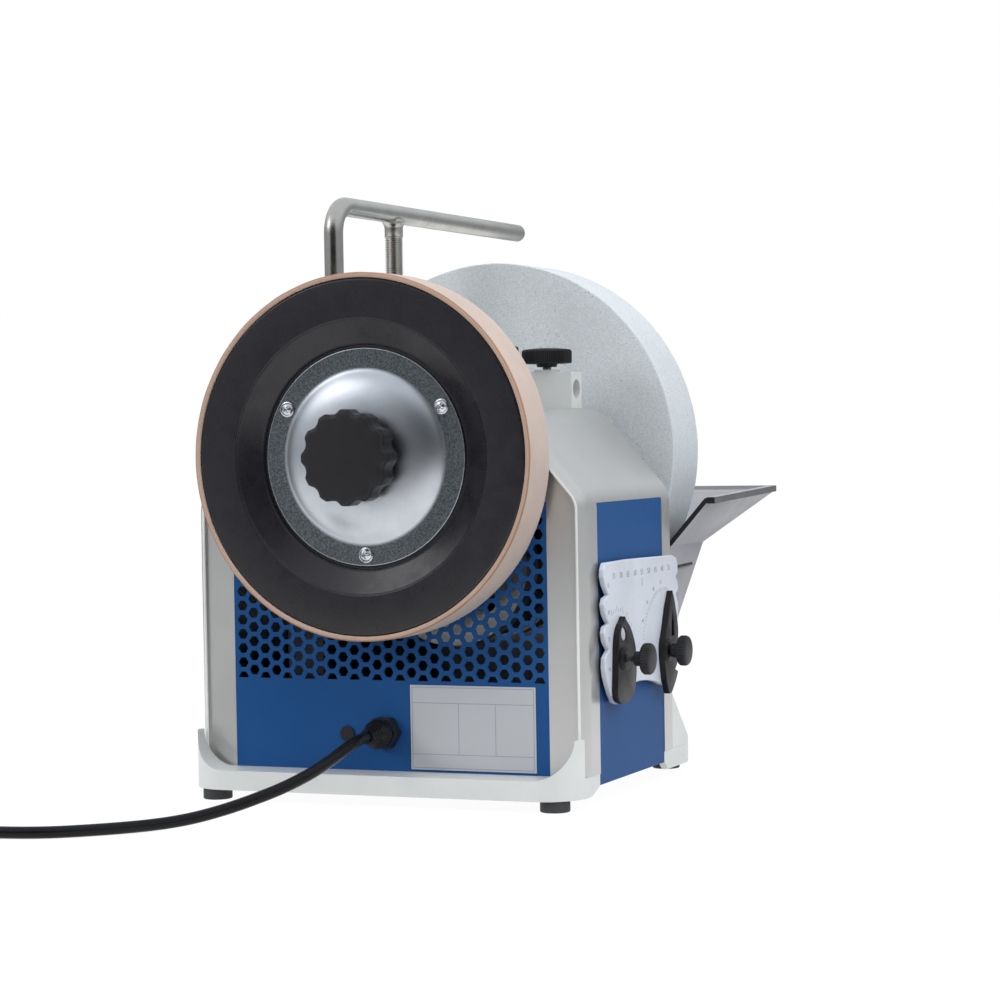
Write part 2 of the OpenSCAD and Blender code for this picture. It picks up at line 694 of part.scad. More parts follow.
module water_trough() color("dimgray") placed() {
    difference() {
        xz_slab(basin_y[0], basin_y[1]) polygon(basin(0));
        xz_slab(basin_y[0] + trough_t, basin_y[1] - trough_t) polygon(basin(trough_t));
    }
    // Flared tray at the right, up to the lip
    intersection() {
        xz_slab(basin_y[0], tray_y) polygon([[125, basin_z[1]], [tray_x, tray_z],
            [tray_x - 4, tray_z], [125 - 4, basin_z[1]]]);
        yz_slab(0, 200)
            polygon([[basin_y[0], 140], [basin_y[0], tray_z - 0.6], [tray_y, tray_z + 3.4],
                [tray_y, tray_z], [basin_y[1], basin_z[1]], [basin_y[1], 140]]);
    }
    // Flared tray at the back, which catches the water that runs off the tool
    intersection() {
        yz_slab(tray_left, tray_x)
            polygon([[basin_y[1], basin_z[1]], [tray_y, tray_z], [tray_y, tray_z + 3.5],
                [basin_y[1] - trough_t, basin_z[1] + 2.5], [basin_y[1] - trough_t, basin_z[1]]]);
        xz_slab(basin_y[1] - trough_t, tray_y)
            polygon([[tray_left, 100], [125, 100], [125, basin_z[1]], [tray_x, tray_z],
                [tray_x, 200], [tray_left, 200]]);
    }
    // Its left wall, low where it passes under the stone's nut
    yz_slab(tray_left, tray_left + trough_t)
        polygon([[basin_y[1], basin_z[1] - 1], [tray_y, tray_z], [tray_y, tray_z + 3.5],
            [302, tray_z + 3.5], [284, 167], [basin_y[1] - trough_t, 160],
            [basin_y[1] - trough_t, basin_z[1] - 1]]);
    // Lips along the near, right and far edges
    yz_slab(lip_x - lip_t, lip_x)
        polygon([[basin_y[0], tray_z - tray_dip], [basin_y[0], tray_z + lip_h - tray_dip],
            [tray_y, tray_z + lip_h], [tray_y, tray_z]]);
    box([tray_left, tray_y - lip_far_t, tray_z], [lip_x, tray_y, tray_z + lip_h]);
    // Hooks that hang over the studs
    for (x = [-100, 100]) difference() {
        box([x - 9, basin_y[0] - 3.5, 124], [x + 9, basin_y[0] + 1, basin_z[1]]);
        along_y(x, basin_y[0] - 5, 138) cylinder(d = 8.4, h = 10);
        box([x - 4.2, basin_y[0] - 5, 120], [x + 4.2, basin_y[0] + 0.01, 138]);
    }
}

module trough_studs() color("silver") placed() for (x = [-100, 100]) {
    along_y(x, rear_y - rear_t, 138) cylinder(d = 8, h = basin_y[0] - rear_y + rear_t - 0.3);
    along_y(x, rear_y, 138) cylinder(d = 16, h = 9.5);
}

module scraper() color("black") placed() xz_slab(stone_y + 1, stone_y + stone_w - 1)
    polygon([[120.4, 150], [117, 150], [105.5, 112], [108.6, 112]]);

// ---------- angle gauge ----------

// The gauge plate: scalloped sides, a straight top and a shallow arch below
module angle_plate() color("white") placed() yz_slab(plate_x[0], plate_x[1]) polygon([
    [72.6, 59], [67.5, 60.7], [62.5, 65.4], [57.7, 71.8], [54.5, 77.5], [53, 83], [54, 88.5],
    [60.4, 92.6], [54.6, 97.6], [52.4, 103.2], [54.6, 107], [60.8, 108.2], [54.8, 114],
    [52.4, 119.8], [54.8, 123.8], [60.8, 125.4], [55.4, 131], [52.4, 136.5], [52.8, 141],
    [56, 144.8], [98, 145], [152, 144], [178, 143.5], [185.5, 141.5], [187.9, 136.5],
    [187.4, 132], [183.8, 129.7], [187, 126.5], [188.3, 122.5], [186.8, 120], [183.4, 118.9],
    [187.6, 113], [188, 108.5], [186.5, 102.5], [182.6, 98.6], [182, 90], [180, 80], [177, 71],
    [171, 64.5], [162, 62.6], [153.9, 63.3], [146, 65.6], [138, 67.2], [130, 68.3], [122, 69],
    [114, 69.4], [106, 69.2], [98, 67], [90, 62.5], [82, 59.6]]);

module gauge_magnets() color("gray") placed() for (y = [75, 155])
    along_x(half_w - 0.5, y, 118) cylinder(d = 18, h = plate_x[0] - half_w + 0.5);

// The stone-diameter pointer: an egg-shaped plate with a straighter left side, a window and a tip
module diameter_pointer() color("dimgray") placed() yz_slab(pointer_x[0], pointer_x[1]) difference() {
    polygon([[77.5, 111.6], [80.2, 108.8], [86, 105], [91, 99.5], [95, 92.5], [96.6, 84], [96.2, 76],
        [94, 68.5], [90, 63.5], [83, 60.2], [76, 59.4], [69.5, 60], [64.3, 62.5], [62.7, 67.5],
        [63.4, 74.3], [64.3, 86.2], [65.6, 96.9], [67.7, 102.7], [71.3, 106.8], [75, 109]]);
    polygon([[70.4, 102], [71.8, 105.2], [74.4, 105.6], [77.4, 104], [79.4, 101], [78.3, 97.8],
        [74.4, 97.4], [71.4, 98.8]]);
    translate(d_knob) circle(d = 5);
}

// The angle pointer: a long arrow with a slot behind its tip
module angle_pointer() color("dimgray") placed() yz_slab(pointer_x[0], pointer_x[1]) difference() {
    polygon([[165, 121.8], [168.5, 116], [171, 110], [173.5, 104], [175, 97.6], [174.9, 92],
        [173.5, 84], [172, 75], [168.3, 72], [173.6, 70.2], [169.6, 65], [163.7, 60],
        [160.5, 57.7], [156.6, 57.6], [153.9, 62.3], [151.3, 67.6], [149.7, 74], [148.1, 80.4],
        [147.8, 85.5], [148.6, 90.4], [152.7, 97.6], [155.9, 104.9], [159.1, 112.2],
        [162.1, 117]]);
    translate(a_knob) circle(d = 5);
    polygon([[164.6, 110], [167, 101.5], [167.4, 93.5], [162, 93.5], [162.6, 102]]);
}

// A thumb knob on the gauge, its head standing off the pointer by gap
module thumb_knob(at, gap) along_x(plate_x[1] + 0.3, at.x, at.y) {
    cylinder(d = 4.9, h = gap + 4);
    translate([0, 0, gap]) difference() {
        union() {
            cylinder(d = 19, h = 5.2);
            translate([0, 0, 5.2]) cylinder(d1 = 19, d2 = 13, h = 1.4);
        }
        for (a = [0:18:342]) rotate(a) translate([10.3, 0, -1]) cylinder(r = 1.1, h = 11);
    }
}

module diameter_knob() color("black") placed() thumb_knob(d_knob, 15.7);
module angle_knob() color("black") placed() thumb_knob(a_knob, 11.5);

housing_shell();
base_frame();
rubber_feet();
foot_screws();
rear_wall();
vent_panel();
side_panel_right();
side_panel_left();
rating_plate();
blanking_plug();
shaft_bushings();
horizontal_sleeves();
vertical_sleeves();
trough_studs();
pivot_bracket();
capacitor();
terminal_block();
switch_body();
switch_rocker();
gland_body();
strain_relief();
power_cord();
cord_coil();
cord_tie();
mains_plug();
main_shaft();
honing_hub();
leather_tyre();
friction_ring();
cover_plate();
cover_screws();
honing_knob();
stone_flanges();
grindstone();
stone_nut();
motor_stator();
motor_end_bells();
motor_cradle();
rotor_spindle();
rotor_core();
motor_fan();
tool_support();
adjusting_nut();
lock_knob_vertical_near();
lock_knob_vertical_far();
lock_knob_horizontal_near();
lock_knob_horizontal_far();
water_trough();
scraper();
angle_plate();
gauge_magnets();
diameter_pointer();
angle_pointer();
diameter_knob();
angle_knob();
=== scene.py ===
import json
from math import acos, atan2, copysign, cos, degrees, hypot, pi, radians, sin, sqrt, tan

import bmesh
import bpy
from mathutils import Matrix, Vector, noise


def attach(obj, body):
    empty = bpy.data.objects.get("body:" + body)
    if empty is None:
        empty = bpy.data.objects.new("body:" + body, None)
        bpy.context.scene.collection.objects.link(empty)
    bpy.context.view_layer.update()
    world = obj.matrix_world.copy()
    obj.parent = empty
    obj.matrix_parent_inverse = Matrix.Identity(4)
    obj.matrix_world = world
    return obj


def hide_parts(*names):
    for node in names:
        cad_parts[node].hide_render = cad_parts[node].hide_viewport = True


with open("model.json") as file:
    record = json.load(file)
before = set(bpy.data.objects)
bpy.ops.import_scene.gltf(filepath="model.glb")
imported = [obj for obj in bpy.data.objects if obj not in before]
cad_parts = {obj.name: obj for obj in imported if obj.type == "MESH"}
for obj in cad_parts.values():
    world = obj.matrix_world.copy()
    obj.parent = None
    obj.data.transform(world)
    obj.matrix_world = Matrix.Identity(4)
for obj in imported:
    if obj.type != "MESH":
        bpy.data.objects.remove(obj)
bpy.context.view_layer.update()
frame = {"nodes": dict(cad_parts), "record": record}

MM = 0.001
# Machine frame in mm: X from the shaft's line, Y from the honing wheel's front, Z from the bench
DATUM = Vector((12.0, 179.5, 0.0))
SHAFT_Z = 210.0
TAU = 2 * pi


def at(x, y, z):
    """A point of the machine frame, in mm, as a point of the row frame, in metres."""
    return (Vector((x, y, z)) - DATUM) * MM


# ---------- camera ----------

CAMERA_AT = (709.11, -1489.01, 226.66)
CAMERA_YAW, CAMERA_PITCH, CAMERA_ROLL = 22.56, 1.51, -0.96


def make_camera():
    yaw, pitch, roll = (radians(a) for a in (CAMERA_YAW, CAMERA_PITCH, CAMERA_ROLL))
    flat = cos(pitch)
    ahead = Vector((-sin(yaw) * flat, cos(yaw) * flat, -sin(pitch)))
    level = Vector((cos(yaw), sin(yaw), 0))
    above = level.cross(ahead)
    right = level * cos(roll) + above * sin(roll)
    up = above * cos(roll) - level * sin(roll)
    data = bpy.data.cameras.new("camera")
    data.lens, data.sensor_width = 100.0, 36.0
    data.clip_start, data.clip_end = 0.1, 30.0
    cam = bpy.data.objects.new("camera", data)
    turn = Matrix((right, up, -ahead)).transposed().to_4x4()
    cam.matrix_world = Matrix.Translation(at(*CAMERA_AT)) @ turn
    bpy.context.scene.collection.objects.link(cam)
    bpy.context.scene.camera = cam


make_camera()

# ---------- materials ----------


def colour(rgb, k=1.0):
    """Blender's linear colour for 0-255 screen values, k times as bright."""
    def lin(v):
        v /= 255
        return v / 12.92 if v <= 0.04045 else ((v + 0.055) / 1.055) ** 2.4
    return tuple(min(1.0, lin(v) * k) for v in rgb) + (1.0,)


class Nodes:
    """A node tree, filled node by node. A socket takes a constant or another node's output."""

    def __init__(self, tree):
        self.tree = tree

    def put(self, socket, value):
        if isinstance(value, bpy.types.NodeSocket):
            self.tree.links.new(value, socket)
        else:
            socket.default_value = value

    def add(self, kind, inputs=(), **settings):
        """A new node with its settings, and its inputs by name or number."""
        node = self.tree.nodes.new("ShaderNode" + kind)
        for key, value in settings.items():
            setattr(node, key, value)
        for key, value in dict(inputs).items():
            self.put(node.inputs[key], value)
        return node

    def math(self, operation, *values):
        return self.add("Math", enumerate(values), operation=operation).outputs[0]

    def spread(self, value, low, high, start=0.3, stop=0.7, curve="LINEAR"):
        """Goes from low to high as the value goes from start to stop."""
        ends = {"From Min": start, "From Max": stop, "To Min": low, "To Max": high}
        return self.add("MapRange", {"Value": value, **ends}, interpolation_type=curve).outputs["Result"]


class Shader(Nodes):
    """A material with a Principled shader."""

    def __init__(self, name):
        self.mat = bpy.data.materials.new(name)
        self.mat.use_nodes = True
        super().__init__(self.mat.node_tree)
        self.out = self.tree.nodes["Principled BSDF"]
        self.where = self.add("TexCoord").outputs["Object"]

    def moved(self, origin, stretch=(1, 1, 1)):
        shift = [-o * s for o, s in zip(origin, stretch)]
        inputs = {"Location": shift, "Scale": stretch, "Vector": self.where}
        return self.add("Mapping", inputs, vector_type="POINT").outputs["Vector"]

    def noise(self, scale, detail=4.0, rough=0.6, where=None):
        inputs = {"Scale": scale, "Detail": detail, "Roughness": rough, "Vector": where or self.where}
        return self.add("TexNoise", inputs).outputs["Fac"]

    def cells(self, scale):
        return self.add("TexVoronoi", {"Scale": scale, "Vector": self.where}).outputs["Distance"]

    def tones(self, fac, c, low, high, start=0.3, stop=0.7):
        """The colour c, scaled from low to high as fac goes from start to stop."""
        node = self.add("ValToRGB", {"Fac": fac})
        for end, place, k in zip(node.color_ramp.elements, (start, stop), (low, high)):
            end.position, end.color = place, colour(c, k)
        return node.outputs["Color"]

    def mix(self, fac, a, b):
        """Two colours: sockets 0, 6 and 7 are the node's factor and its colour inputs."""
        return self.add("Mix", ((0, fac), (6, a), (7, b)), data_type="RGBA").outputs[2]

    def bump(self, height, depth):
        """Adds relief: depth is in metres between the height's 0 and 1."""
        node = self.add("Bump", {"Strength": 1.0, "Distance": depth, "Height": height})
        normal = self.out.inputs["Normal"]
        if normal.links:
            self.put(node.inputs["Normal"], normal.links[0].from_socket)
        self.put(normal, node.outputs["Normal"])

    def set(self, **values):
        for key, value in values.items():
            self.put(self.out.inputs[key.replace("_", " ")], value)


def mottled(s, c, vary, scale):
    """The colour c, a little lighter and darker in patches."""
    return s.tones(s.noise(scale), c, 1 - vary, 1 + vary)


def coated_metal(name, c, metal, rough, grain, depth, vary=0.035, gloss=0.5):
    """Paint or powder coat: fine orange peel with slight mottling."""
    s = Shader(name)
    s.set(Base_Color=mottled(s, c, vary, 22), Metallic=metal, Specular_IOR_Level=gloss, Roughness=rough)
    s.bump(s.noise(grain, 3), depth)
    s.bump(s.noise(grain / 9, 2), depth * 1.4)
    return s.mat


def moulding(name, c, rough, depth=0.00004, grain=1400, vary=0.08, gloss=0.5):
    """A moulded plastic, with a fine spark-eroded grain."""
    s = Shader(name)
    s.set(Base_Color=mottled(s, c, vary, 30), Specular_IOR_Level=gloss,
          Roughness=s.spread(s.noise(90), rough - 0.06, rough + 0.08))
    s.bump(s.noise(grain, 3, 0.7), depth)
    return s.mat


def rubber(name, c, rough, gloss=0.5):
    s = Shader(name)
    s.set(Base_Color=mottled(s, c, 0.12, 45), Specular_IOR_Level=gloss,
          Roughness=s.spread(s.noise(140), rough - 0.08, rough + 0.1))
    s.bump(s.noise(900, 4, 0.7), 0.00003)
    return s.mat


def turned_metal(name, c, rough, centre, stretch):
    """Bare metal with fine marks drawn out along one direction."""
    s = Shader(name)
    lines = s.noise(900, 3, 0.7, s.moved(centre, stretch))
    s.set(Base_Color=s.tones(lines, c, 0.9, 1.06), Metallic=1.0,
          Roughness=s.spread(s.noise(50), rough - 0.05, rough + 0.08))
    s.bump(lines, 0.00001)
    return s.mat


def make_leather(name, c, fibre):
    """Leather: blotches from use, fine pores and raised fibre."""
    s = Shader(name)
    pores = s.spread(s.cells(1500), 0.28, 0.0, 0.0, 0.35)
    s.set(Base_Color=s.mix(pores, mottled(s, c, 0.07, 28), colour(c, 0.6)), Sheen_Weight=0.15,
          Roughness=s.spread(s.noise(80), 0.72, 0.92), Sheen_Roughness=0.5)
    s.bump(s.noise(1100, 5, 0.75), fibre)
    s.bump(s.noise(160, 4), fibre * 2)
    return s.mat


def make_stone(name, c):
    """Vitrified grit: fine light and dark grains, scattered darker specks and open pores."""
    s = Shader(name)
    cloud = s.tones(s.noise(16, 4), c, 0.94, 1.04)
    grit = s.tones(s.noise(850, 4, 0.85), c, 0.6, 1.35, 0.36, 0.64)
    dark = s.spread(s.cells(330), 0.75, 0.0, 0.10, 0.22)
    few = s.spread(s.noise(120, 2), 0.0, 1.0, 0.55, 0.6)
    specks = s.math("MULTIPLY", dark, few)
    s.set(Base_Color=s.mix(specks, s.mix(0.42, cloud, grit), colour(c, 0.5)), Roughness=0.92)
    s.bump(s.noise(900, 3, 0.8), 0.00012)
    s.bump(s.noise(260, 3), 0.0001)
    return s.mat


def make_galvanised(name, c, bright):
    """Zinc-plated sheet: grey spangle on the flat ring, and a drawn, brighter dome inside it."""
    s = Shader(name)
    parts = s.add("SeparateXYZ", {0: s.moved(at(0, 0, SHAFT_Z))}).outputs
    squares = [s.math("MULTIPLY", parts[k], parts[k]) for k in (0, 2)]
    radius = s.math("SQRT", s.math("ADD", *squares))
    ring = s.math("MULTIPLY", s.spread(radius, 0.0, 1.0, 0.0515, 0.0535),
                  s.spread(radius, 1.0, 0.0, 0.0644, 0.0648))
    fine = s.noise(850, 4, 0.8)
    dome = s.tones(s.noise(70, 4), bright, 0.93, 1.05)
    s.set(Base_Color=s.mix(ring, dome, s.tones(fine, c, 0.5, 1.5, 0.38, 0.62)), Metallic=1.0,
          Roughness=s.math("ADD", 0.34, s.math("MULTIPLY", ring, 0.13)))
    s.bump(s.math("MULTIPLY", fine, ring), 0.00003)
    s.bump(s.noise(500, 2), 0.000004)
    return s.mat


CAST = coated_metal("cast_metal_paint", (200, 200, 198), 0.76, 0.32, 900, 0.000002)
# painted highlight: a lighter, matte copy of the cast paint for the bright line along the housing's front
# crest
CREST_HIGHLIGHT = coated_metal("cast_crest_painted_highlight", (226, 227, 225), 0.0, 0.36, 900, 0.000005)
BASE_CAST = coated_metal("cast_base_paint", (222, 224, 222), 0.4, 0.43, 900, 0.000004)
BLUE = coated_metal("blue_powder_coat", (34, 78, 132), 0.0, 0.41, 1100, 0.00002, gloss=0.07)
FOIL = coated_metal("label_foil", (186, 188, 192), 0.3, 0.46, 1500, 0.000005, 0.015)
BLACK = moulding("black_moulding", (31, 30, 33), 0.42, gloss=0.3)
HUB = moulding("wheel_moulding", (30, 28, 33), 0.27, 0.000008, vary=0.02, gloss=0.5)
NYLON = moulding("nylon_moulding", (226, 220, 204), 0.45)
WHITE = moulding("white_moulding", (202, 206, 215), 0.42, 0.00001)
POINTER = moulding("pointer_moulding", (24, 23, 26), 0.4, gloss=0.28)
GREY = moulding("grey_moulding", (34, 33, 36), 0.44, gloss=0.34)
TROUGH = moulding("trough_moulding", (164, 163, 167), 0.45)
# painted shade: dark grey for the shaded near end of the trough, and for the slot on its outside
TROUGH_SHADE = moulding("trough_painted_shade", (40, 39, 42), 0.5, gloss=0.25)
# painted shade: mid grey for the shaded outside of the trough's right lip
TROUGH_LIP_SHADE = moulding("trough_lip_painted_shade", (98, 97, 100), 0.5, gloss=0.3)
RED = moulding("red_moulding", (178, 40, 34), 0.3, 0.00001)
RUBBER = rubber("foot_rubber", (58, 60, 62), 0.62)
SHEATH = rubber("cord_sheath", (17, 17, 20), 0.27, 0.22)
STEEL = turned_metal("turned_steel", (186, 187, 188), 0.3, at(0, 0, SHAFT_Z), (1, 0.05, 1))
BAR = turned_metal("support_bar", (196, 193, 187), 0.23, at(-50, 75, 300), (0.06, 0.06, 0.06))
ZINC = turned_metal("zinc_screws", (214, 216, 220), 0.22, at(0, 0, SHAFT_Z), (1, 1, 1))
DARK_STEEL = coated_metal("dark_steel_paint", (60, 60, 62), 0.2, 0.46, 900, 0.00002)
LAMINATIONS = turned_metal("laminations", (150, 140, 128), 0.45, at(0, 0, 0), (0.05, 1, 0.05))
GALVANISED = make_galvanised("galvanised_plate", (104, 109, 113), (204, 208, 215))
LEATHER_TREAD = make_leather("leather_tread", (186, 168, 157), 0.00006)
LEATHER_EDGE = make_leather("leather_edge", (176, 148, 130), 0.00009)
LEATHER_CORNER = make_leather("leather_corner", (156, 120, 97), 0.00009)
STONE = make_stone("stone_grit", (199, 204, 207))
MARK = moulding("printed_marks", (146, 150, 164), 0.5, 0.0)

MADE_OF = (
    (CAST, "housing_shell rear_wall motor_end_bells"),
    (BASE_CAST, "base_frame horizontal_sleeves vertical_sleeves"),
    (BLUE, "vent_panel side_panel_right side_panel_left"),
    (FOIL, "rating_plate"),
    (BLACK, "blanking_plug switch_body gland_body cord_tie honing_knob motor_fan adjusting_nut"),
    (BLACK, "lock_knob_vertical_near lock_knob_vertical_far"),
    (BLACK, "lock_knob_horizontal_near lock_knob_horizontal_far"),
    (HUB, "honing_hub"),
    (NYLON, "shaft_bushings terminal_block"),
    (WHITE, "capacitor angle_plate"),
    (GREY, "scraper diameter_pointer angle_pointer diameter_knob angle_knob"),
    (TROUGH, "water_trough"),
    (RED, "switch_rocker"),
    (RUBBER, "rubber_feet friction_ring"),
    (SHEATH, "strain_relief power_cord cord_coil mains_plug"),
    (STEEL, "trough_studs main_shaft stone_flanges stone_nut rotor_spindle gauge_magnets"),
    (BAR, "tool_support"),
    (ZINC, "foot_screws cover_screws"),
    (DARK_STEEL, "pivot_bracket motor_cradle"),
    (LAMINATIONS, "motor_stator rotor_core"),
    (GALVANISED, "cover_plate"),
    (LEATHER_TREAD, "leather_tyre"),
    (STONE, "grindstone"),
)
NODE_MATERIAL = {node: mat for mat, nodes in MADE_OF for node in nodes.split()}
for name, mat in NODE_MATERIAL.items():
    materials = frame["nodes"][name].data.materials
    materials.clear()
    materials.append(mat)

BODY = {n: b for b, members in frame["record"]["behaviour"]["bodies"].items() for n in members}

# ---------- making pieces ----------


def mesh_object(name, bm, *mats):
    mesh = bpy.data.meshes.new(name)
    bmesh.ops.recalc_face_normals(bm, faces=bm.faces[:])
    bm.to_mesh(mesh)
    bm.free()
    for m in mats:
        mesh.materials.append(m)
    obj = bpy.data.objects.new(name, mesh)
    bpy.context.scene.collection.objects.link(obj)
    return obj


def baked(obj):
    """The object with its modifiers applied."""
    graph = bpy.context.evaluated_depsgraph_get()
    mesh = bpy.data.meshes.new_from_object(obj.evaluated_get(graph), depsgraph=graph)
    obj.modifiers.clear()
    obj.data = mesh
    return obj


def smooth(obj, sharp=32):
    for p in obj.data.polygons:
        p.use_smooth = True
    obj.data.set_sharp_from_angle(angle=radians(sharp))
    return obj


def weighted(obj):
    """Shades the object's large faces flat, beside its rounded edges."""
    obj.modifiers.new("weighted", "WEIGHTED_NORMAL").keep_sharp = True
    return baked(obj)


def rounded_edges(obj, width, segments=2, angle=32):
    """Rounds the object's sharp edges by width in mm."""
    b = obj.modifiers.new("bevel", "BEVEL")
    b.width, b.segments, b.limit_method, b.angle_limit = width * MM, segments, "ANGLE", radians(angle)
    return weighted(smooth(baked(obj), 50))


def stands_for(obj, *nodes):
    """obj takes the place of CAD nodes, on their body."""
    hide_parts(*nodes)
    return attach(obj, BODY[nodes[0]])


def added_to(node, obj):
    """obj is a further piece on the body of a CAD node."""
    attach(obj, BODY[node])


def softened(node, width, segments, *mats):
    """A copy of a CAD node with its flat faces whole and its edges rounded."""
    bm = bmesh.new()
    bm.from_mesh(frame["nodes"][node].data)
    bmesh.ops.remove_doubles(bm, verts=bm.verts[:], dist=2e-6)
    bmesh.ops.dissolve_limit(bm, angle_limit=radians(0.4), verts=bm.verts[:], edges=bm.edges[:])
    obj = mesh_object(node + "_piece", bm, *(mats or [NODE_MATERIAL[node]]))
    return stands_for(rounded_edges(obj, width, segments), node)


def along(axis, x, y, z):
    """Places a shape made along its own +Z, in mm, to run along an axis from (x, y, z)."""
    quarter = pi / 2
    turns = {"+Z": Matrix.Identity(4), "+Y": Matrix.Rotation(-quarter, 4, "X"),
             "+X": Matrix.Rotation(quarter, 4, "Y"), "-X": Matrix.Rotation(-quarter, 4, "Y")}
    return Matrix.Translation(at(x, y, z)) @ turns[axis] @ Matrix.Scale(MM, 4)


MACHINE = along("+Z", 0, 0, 0)  # places points of the machine frame


def on_shaft(y):
    return along("+Y", 0, y, SHAFT_Z)


def bridge(bm, rings):
    """Faces from each ring of vertices to the next. A ring of one vertex is a tip."""
    for p, q in zip(rings, rings[1:]):
        n = max(len(p), len(q))
        for i in range(n if n > 1 else 0):
            j = (i + 1) % n
            four = (p[i % len(p)], q[i % len(q)], q[j % len(q)], p[j % len(p)])
            bm.faces.new(list(dict.fromkeys(four)))


def lathe(bm, profile, place, segments=96, closed=True, bend=None):
    """Turns a profile of (radius, height) about +Z. bend(radius, height, angle) may change both."""
    rings = []
    for r, h in profile:
        if r < 1e-6:
            rings.append([bm.verts.new(place @ Vector((0, 0, h)))])
            continue
        ring = []
        for a in (TAU * i / segments for i in range(segments)):
            k, z = bend(r, h, a) if bend else (r, h)
            ring.append(bm.verts.new(place @ Vector((k * cos(a), k * sin(a), z))))
        rings.append(ring)
    if closed and len(rings[0]) > 1 and len(rings[-1]) > 1:
        rings.append(rings[0])
    bridge(bm, rings)
    return rings


def lathed(name, mats, sharp, *turning, **options):
    """An object turned on the lathe, its edges sharp from an angle on."""
    bm = bmesh.new()
    lathe(bm, *turning, **options)
    return smooth(mesh_object(name, bm, *mats), sharp)


def fillet(points, radii, steps=4):
    """A polyline with its inner corners rounded: radii holds one radius for each point."""
    out = [Vector(points[0])]
    for i in range(1, len(points) - 1):
        a, b, c = (Vector(points[k]) for k in (i - 1, i, i + 1))
        u, v = a - b, c - b
        r = min(radii[i], u.length * 0.49, v.length * 0.49)
        if r <= 0:
            out.append(b)
            continue
        p, q = b + u.normalized() * r, b + v.normalized() * r
        for t in (k / steps for k in range(steps + 1)):
            out.append(p * (1 - t) ** 2 + b * 2 * t * (1 - t) + q * t * t)
    out.append(Vector(points[-1]))
    return [tuple(p) for p in out]


def tube(bm, path, radii, sides):
    """A round bar along a path of points in mm, with a radius for each."""
    pts = [Vector(p) for p in path]
    side, rings = None, []
    for i, p in enumerate(pts):
        d = (pts[min(i + 1, len(pts) - 1)] - pts[max(i - 1, 0)]).normalized()
        if side is None:
            side = d.cross(Vector((0, 0, 1)) if abs(d.z) < 0.9 else Vector((1, 0, 0))).normalized()
        side = (side - d * side.dot(d)).normalized()
        up = d.cross(side)
        turns = [TAU * k / sides for k in range(sides)]
        rings.append([bm.verts.new(MACHINE @ (p + (side * cos(a) + up * sin(a)) * radii[i]))
                      for a in turns])
    bridge(bm, rings)
    bm.faces.new(rings[0])
    bm.faces.new(rings[-1][::-1])


def smoothstep(t):
    t = max(0.0, min(1.0, t))
    return t * t * (3 - 2 * t)


# ---------- mains lead ----------

CORD_D = 7.0
CORD_LAY = 7.05  # from turn to turn
CORD_BEND = 28.0  # tightest bend
GLAND_MOUTH = (-2, 8, 42.5)
# The lead's route from the gland's mouth to the coil, the same points as the CAD's
CORD_ROUTE = [
    GLAND_MOUTH, (-1.6, 2, 42.5), (-2, -6, 41.5), (-3.6, -14, 39), (-6, -22, 35.5), (-9.5, -31, 31.3),
    (-14, -40, 27), (-20, -49, 22.8), (-27, -58, 18.8), (-35, -67, 15.2), (-44, -76, 11.6),
    (-53, -85, 8.6), (-62, -94, 6.2), (-71, -103, 4.6), (-80, -113, 3.8), (-89, -124, 3.6),
    (-99, -135, 3.6), (-110, -145, 3.6), (-122, -153.5, 3.6), (-135, -158.8, 3.6), (-149, -161.8, 3.6),
    (-163, -163.2, 3.6), (-178, -163.4, 3.6), (-193, -162.8, 3.6),
]
COIL_AT = Vector((-208.0, -206.0, 0.0))
COIL_OUTER, COIL_INNER = 43.5, 43.5 - CORD_LAY
COIL_START, COIL_FLOOR, COIL_LAYERS = 87.4, 3.6, 4
COIL_TOP = COIL_FLOOR + CORD_LAY * (COIL_LAYERS - 1)
SHIFT_FROM, SHIFT_ARC, CLIMB_ARC = 250.0, 110.0, 75.0
SHIFT_TO_CLIMB, CLIMB_TO_SHIFT = 320.0, 285.0
COIL_STEP = 12  # degrees from point to point
PLUG_Z = 28 + 13 + 0.3
PLUG_TURN = radians(25)
PLUG_OFFSET = Vector((5, -20, 0))
PLUG_TAIL = -34.0  # where the lead enters the plug, along the plug


def plug_place():
    """The plug's own frame: its pins point along its +X."""
    return (Matrix.Translation(at(COIL_AT.x, COIL_AT.y, PLUG_Z)) @ Matrix.Rotation(PLUG_TURN, 4, "Z")
            @ Matrix.Translation(PLUG_OFFSET * MM) @ Matrix.Scale(MM, 4))


def ring_point(centre, radius, angle, z):
    a = radians(angle)
    return Vector((centre.x + radius * cos(a), centre.y + radius * sin(a), z))


def coil_steps():
    """(angle travelled, radius, layer) at the ends of each shift and climb."""
    steps, travelled = [(0, COIL_OUTER, 0)], SHIFT_FROM
    for layer in range(COIL_LAYERS):
        here = steps[-1][1]
        there = COIL_INNER if here == COIL_OUTER else COIL_OUTER
        steps += [(travelled, here, layer), (travelled + SHIFT_ARC, there, layer)]
        if layer < COIL_LAYERS - 1:
            climb = travelled + SHIFT_TO_CLIMB
            steps += [(climb, there, layer), (climb + CLIMB_ARC, there, layer + 1)]
            travelled = climb + CLIMB_TO_SHIFT
    return steps


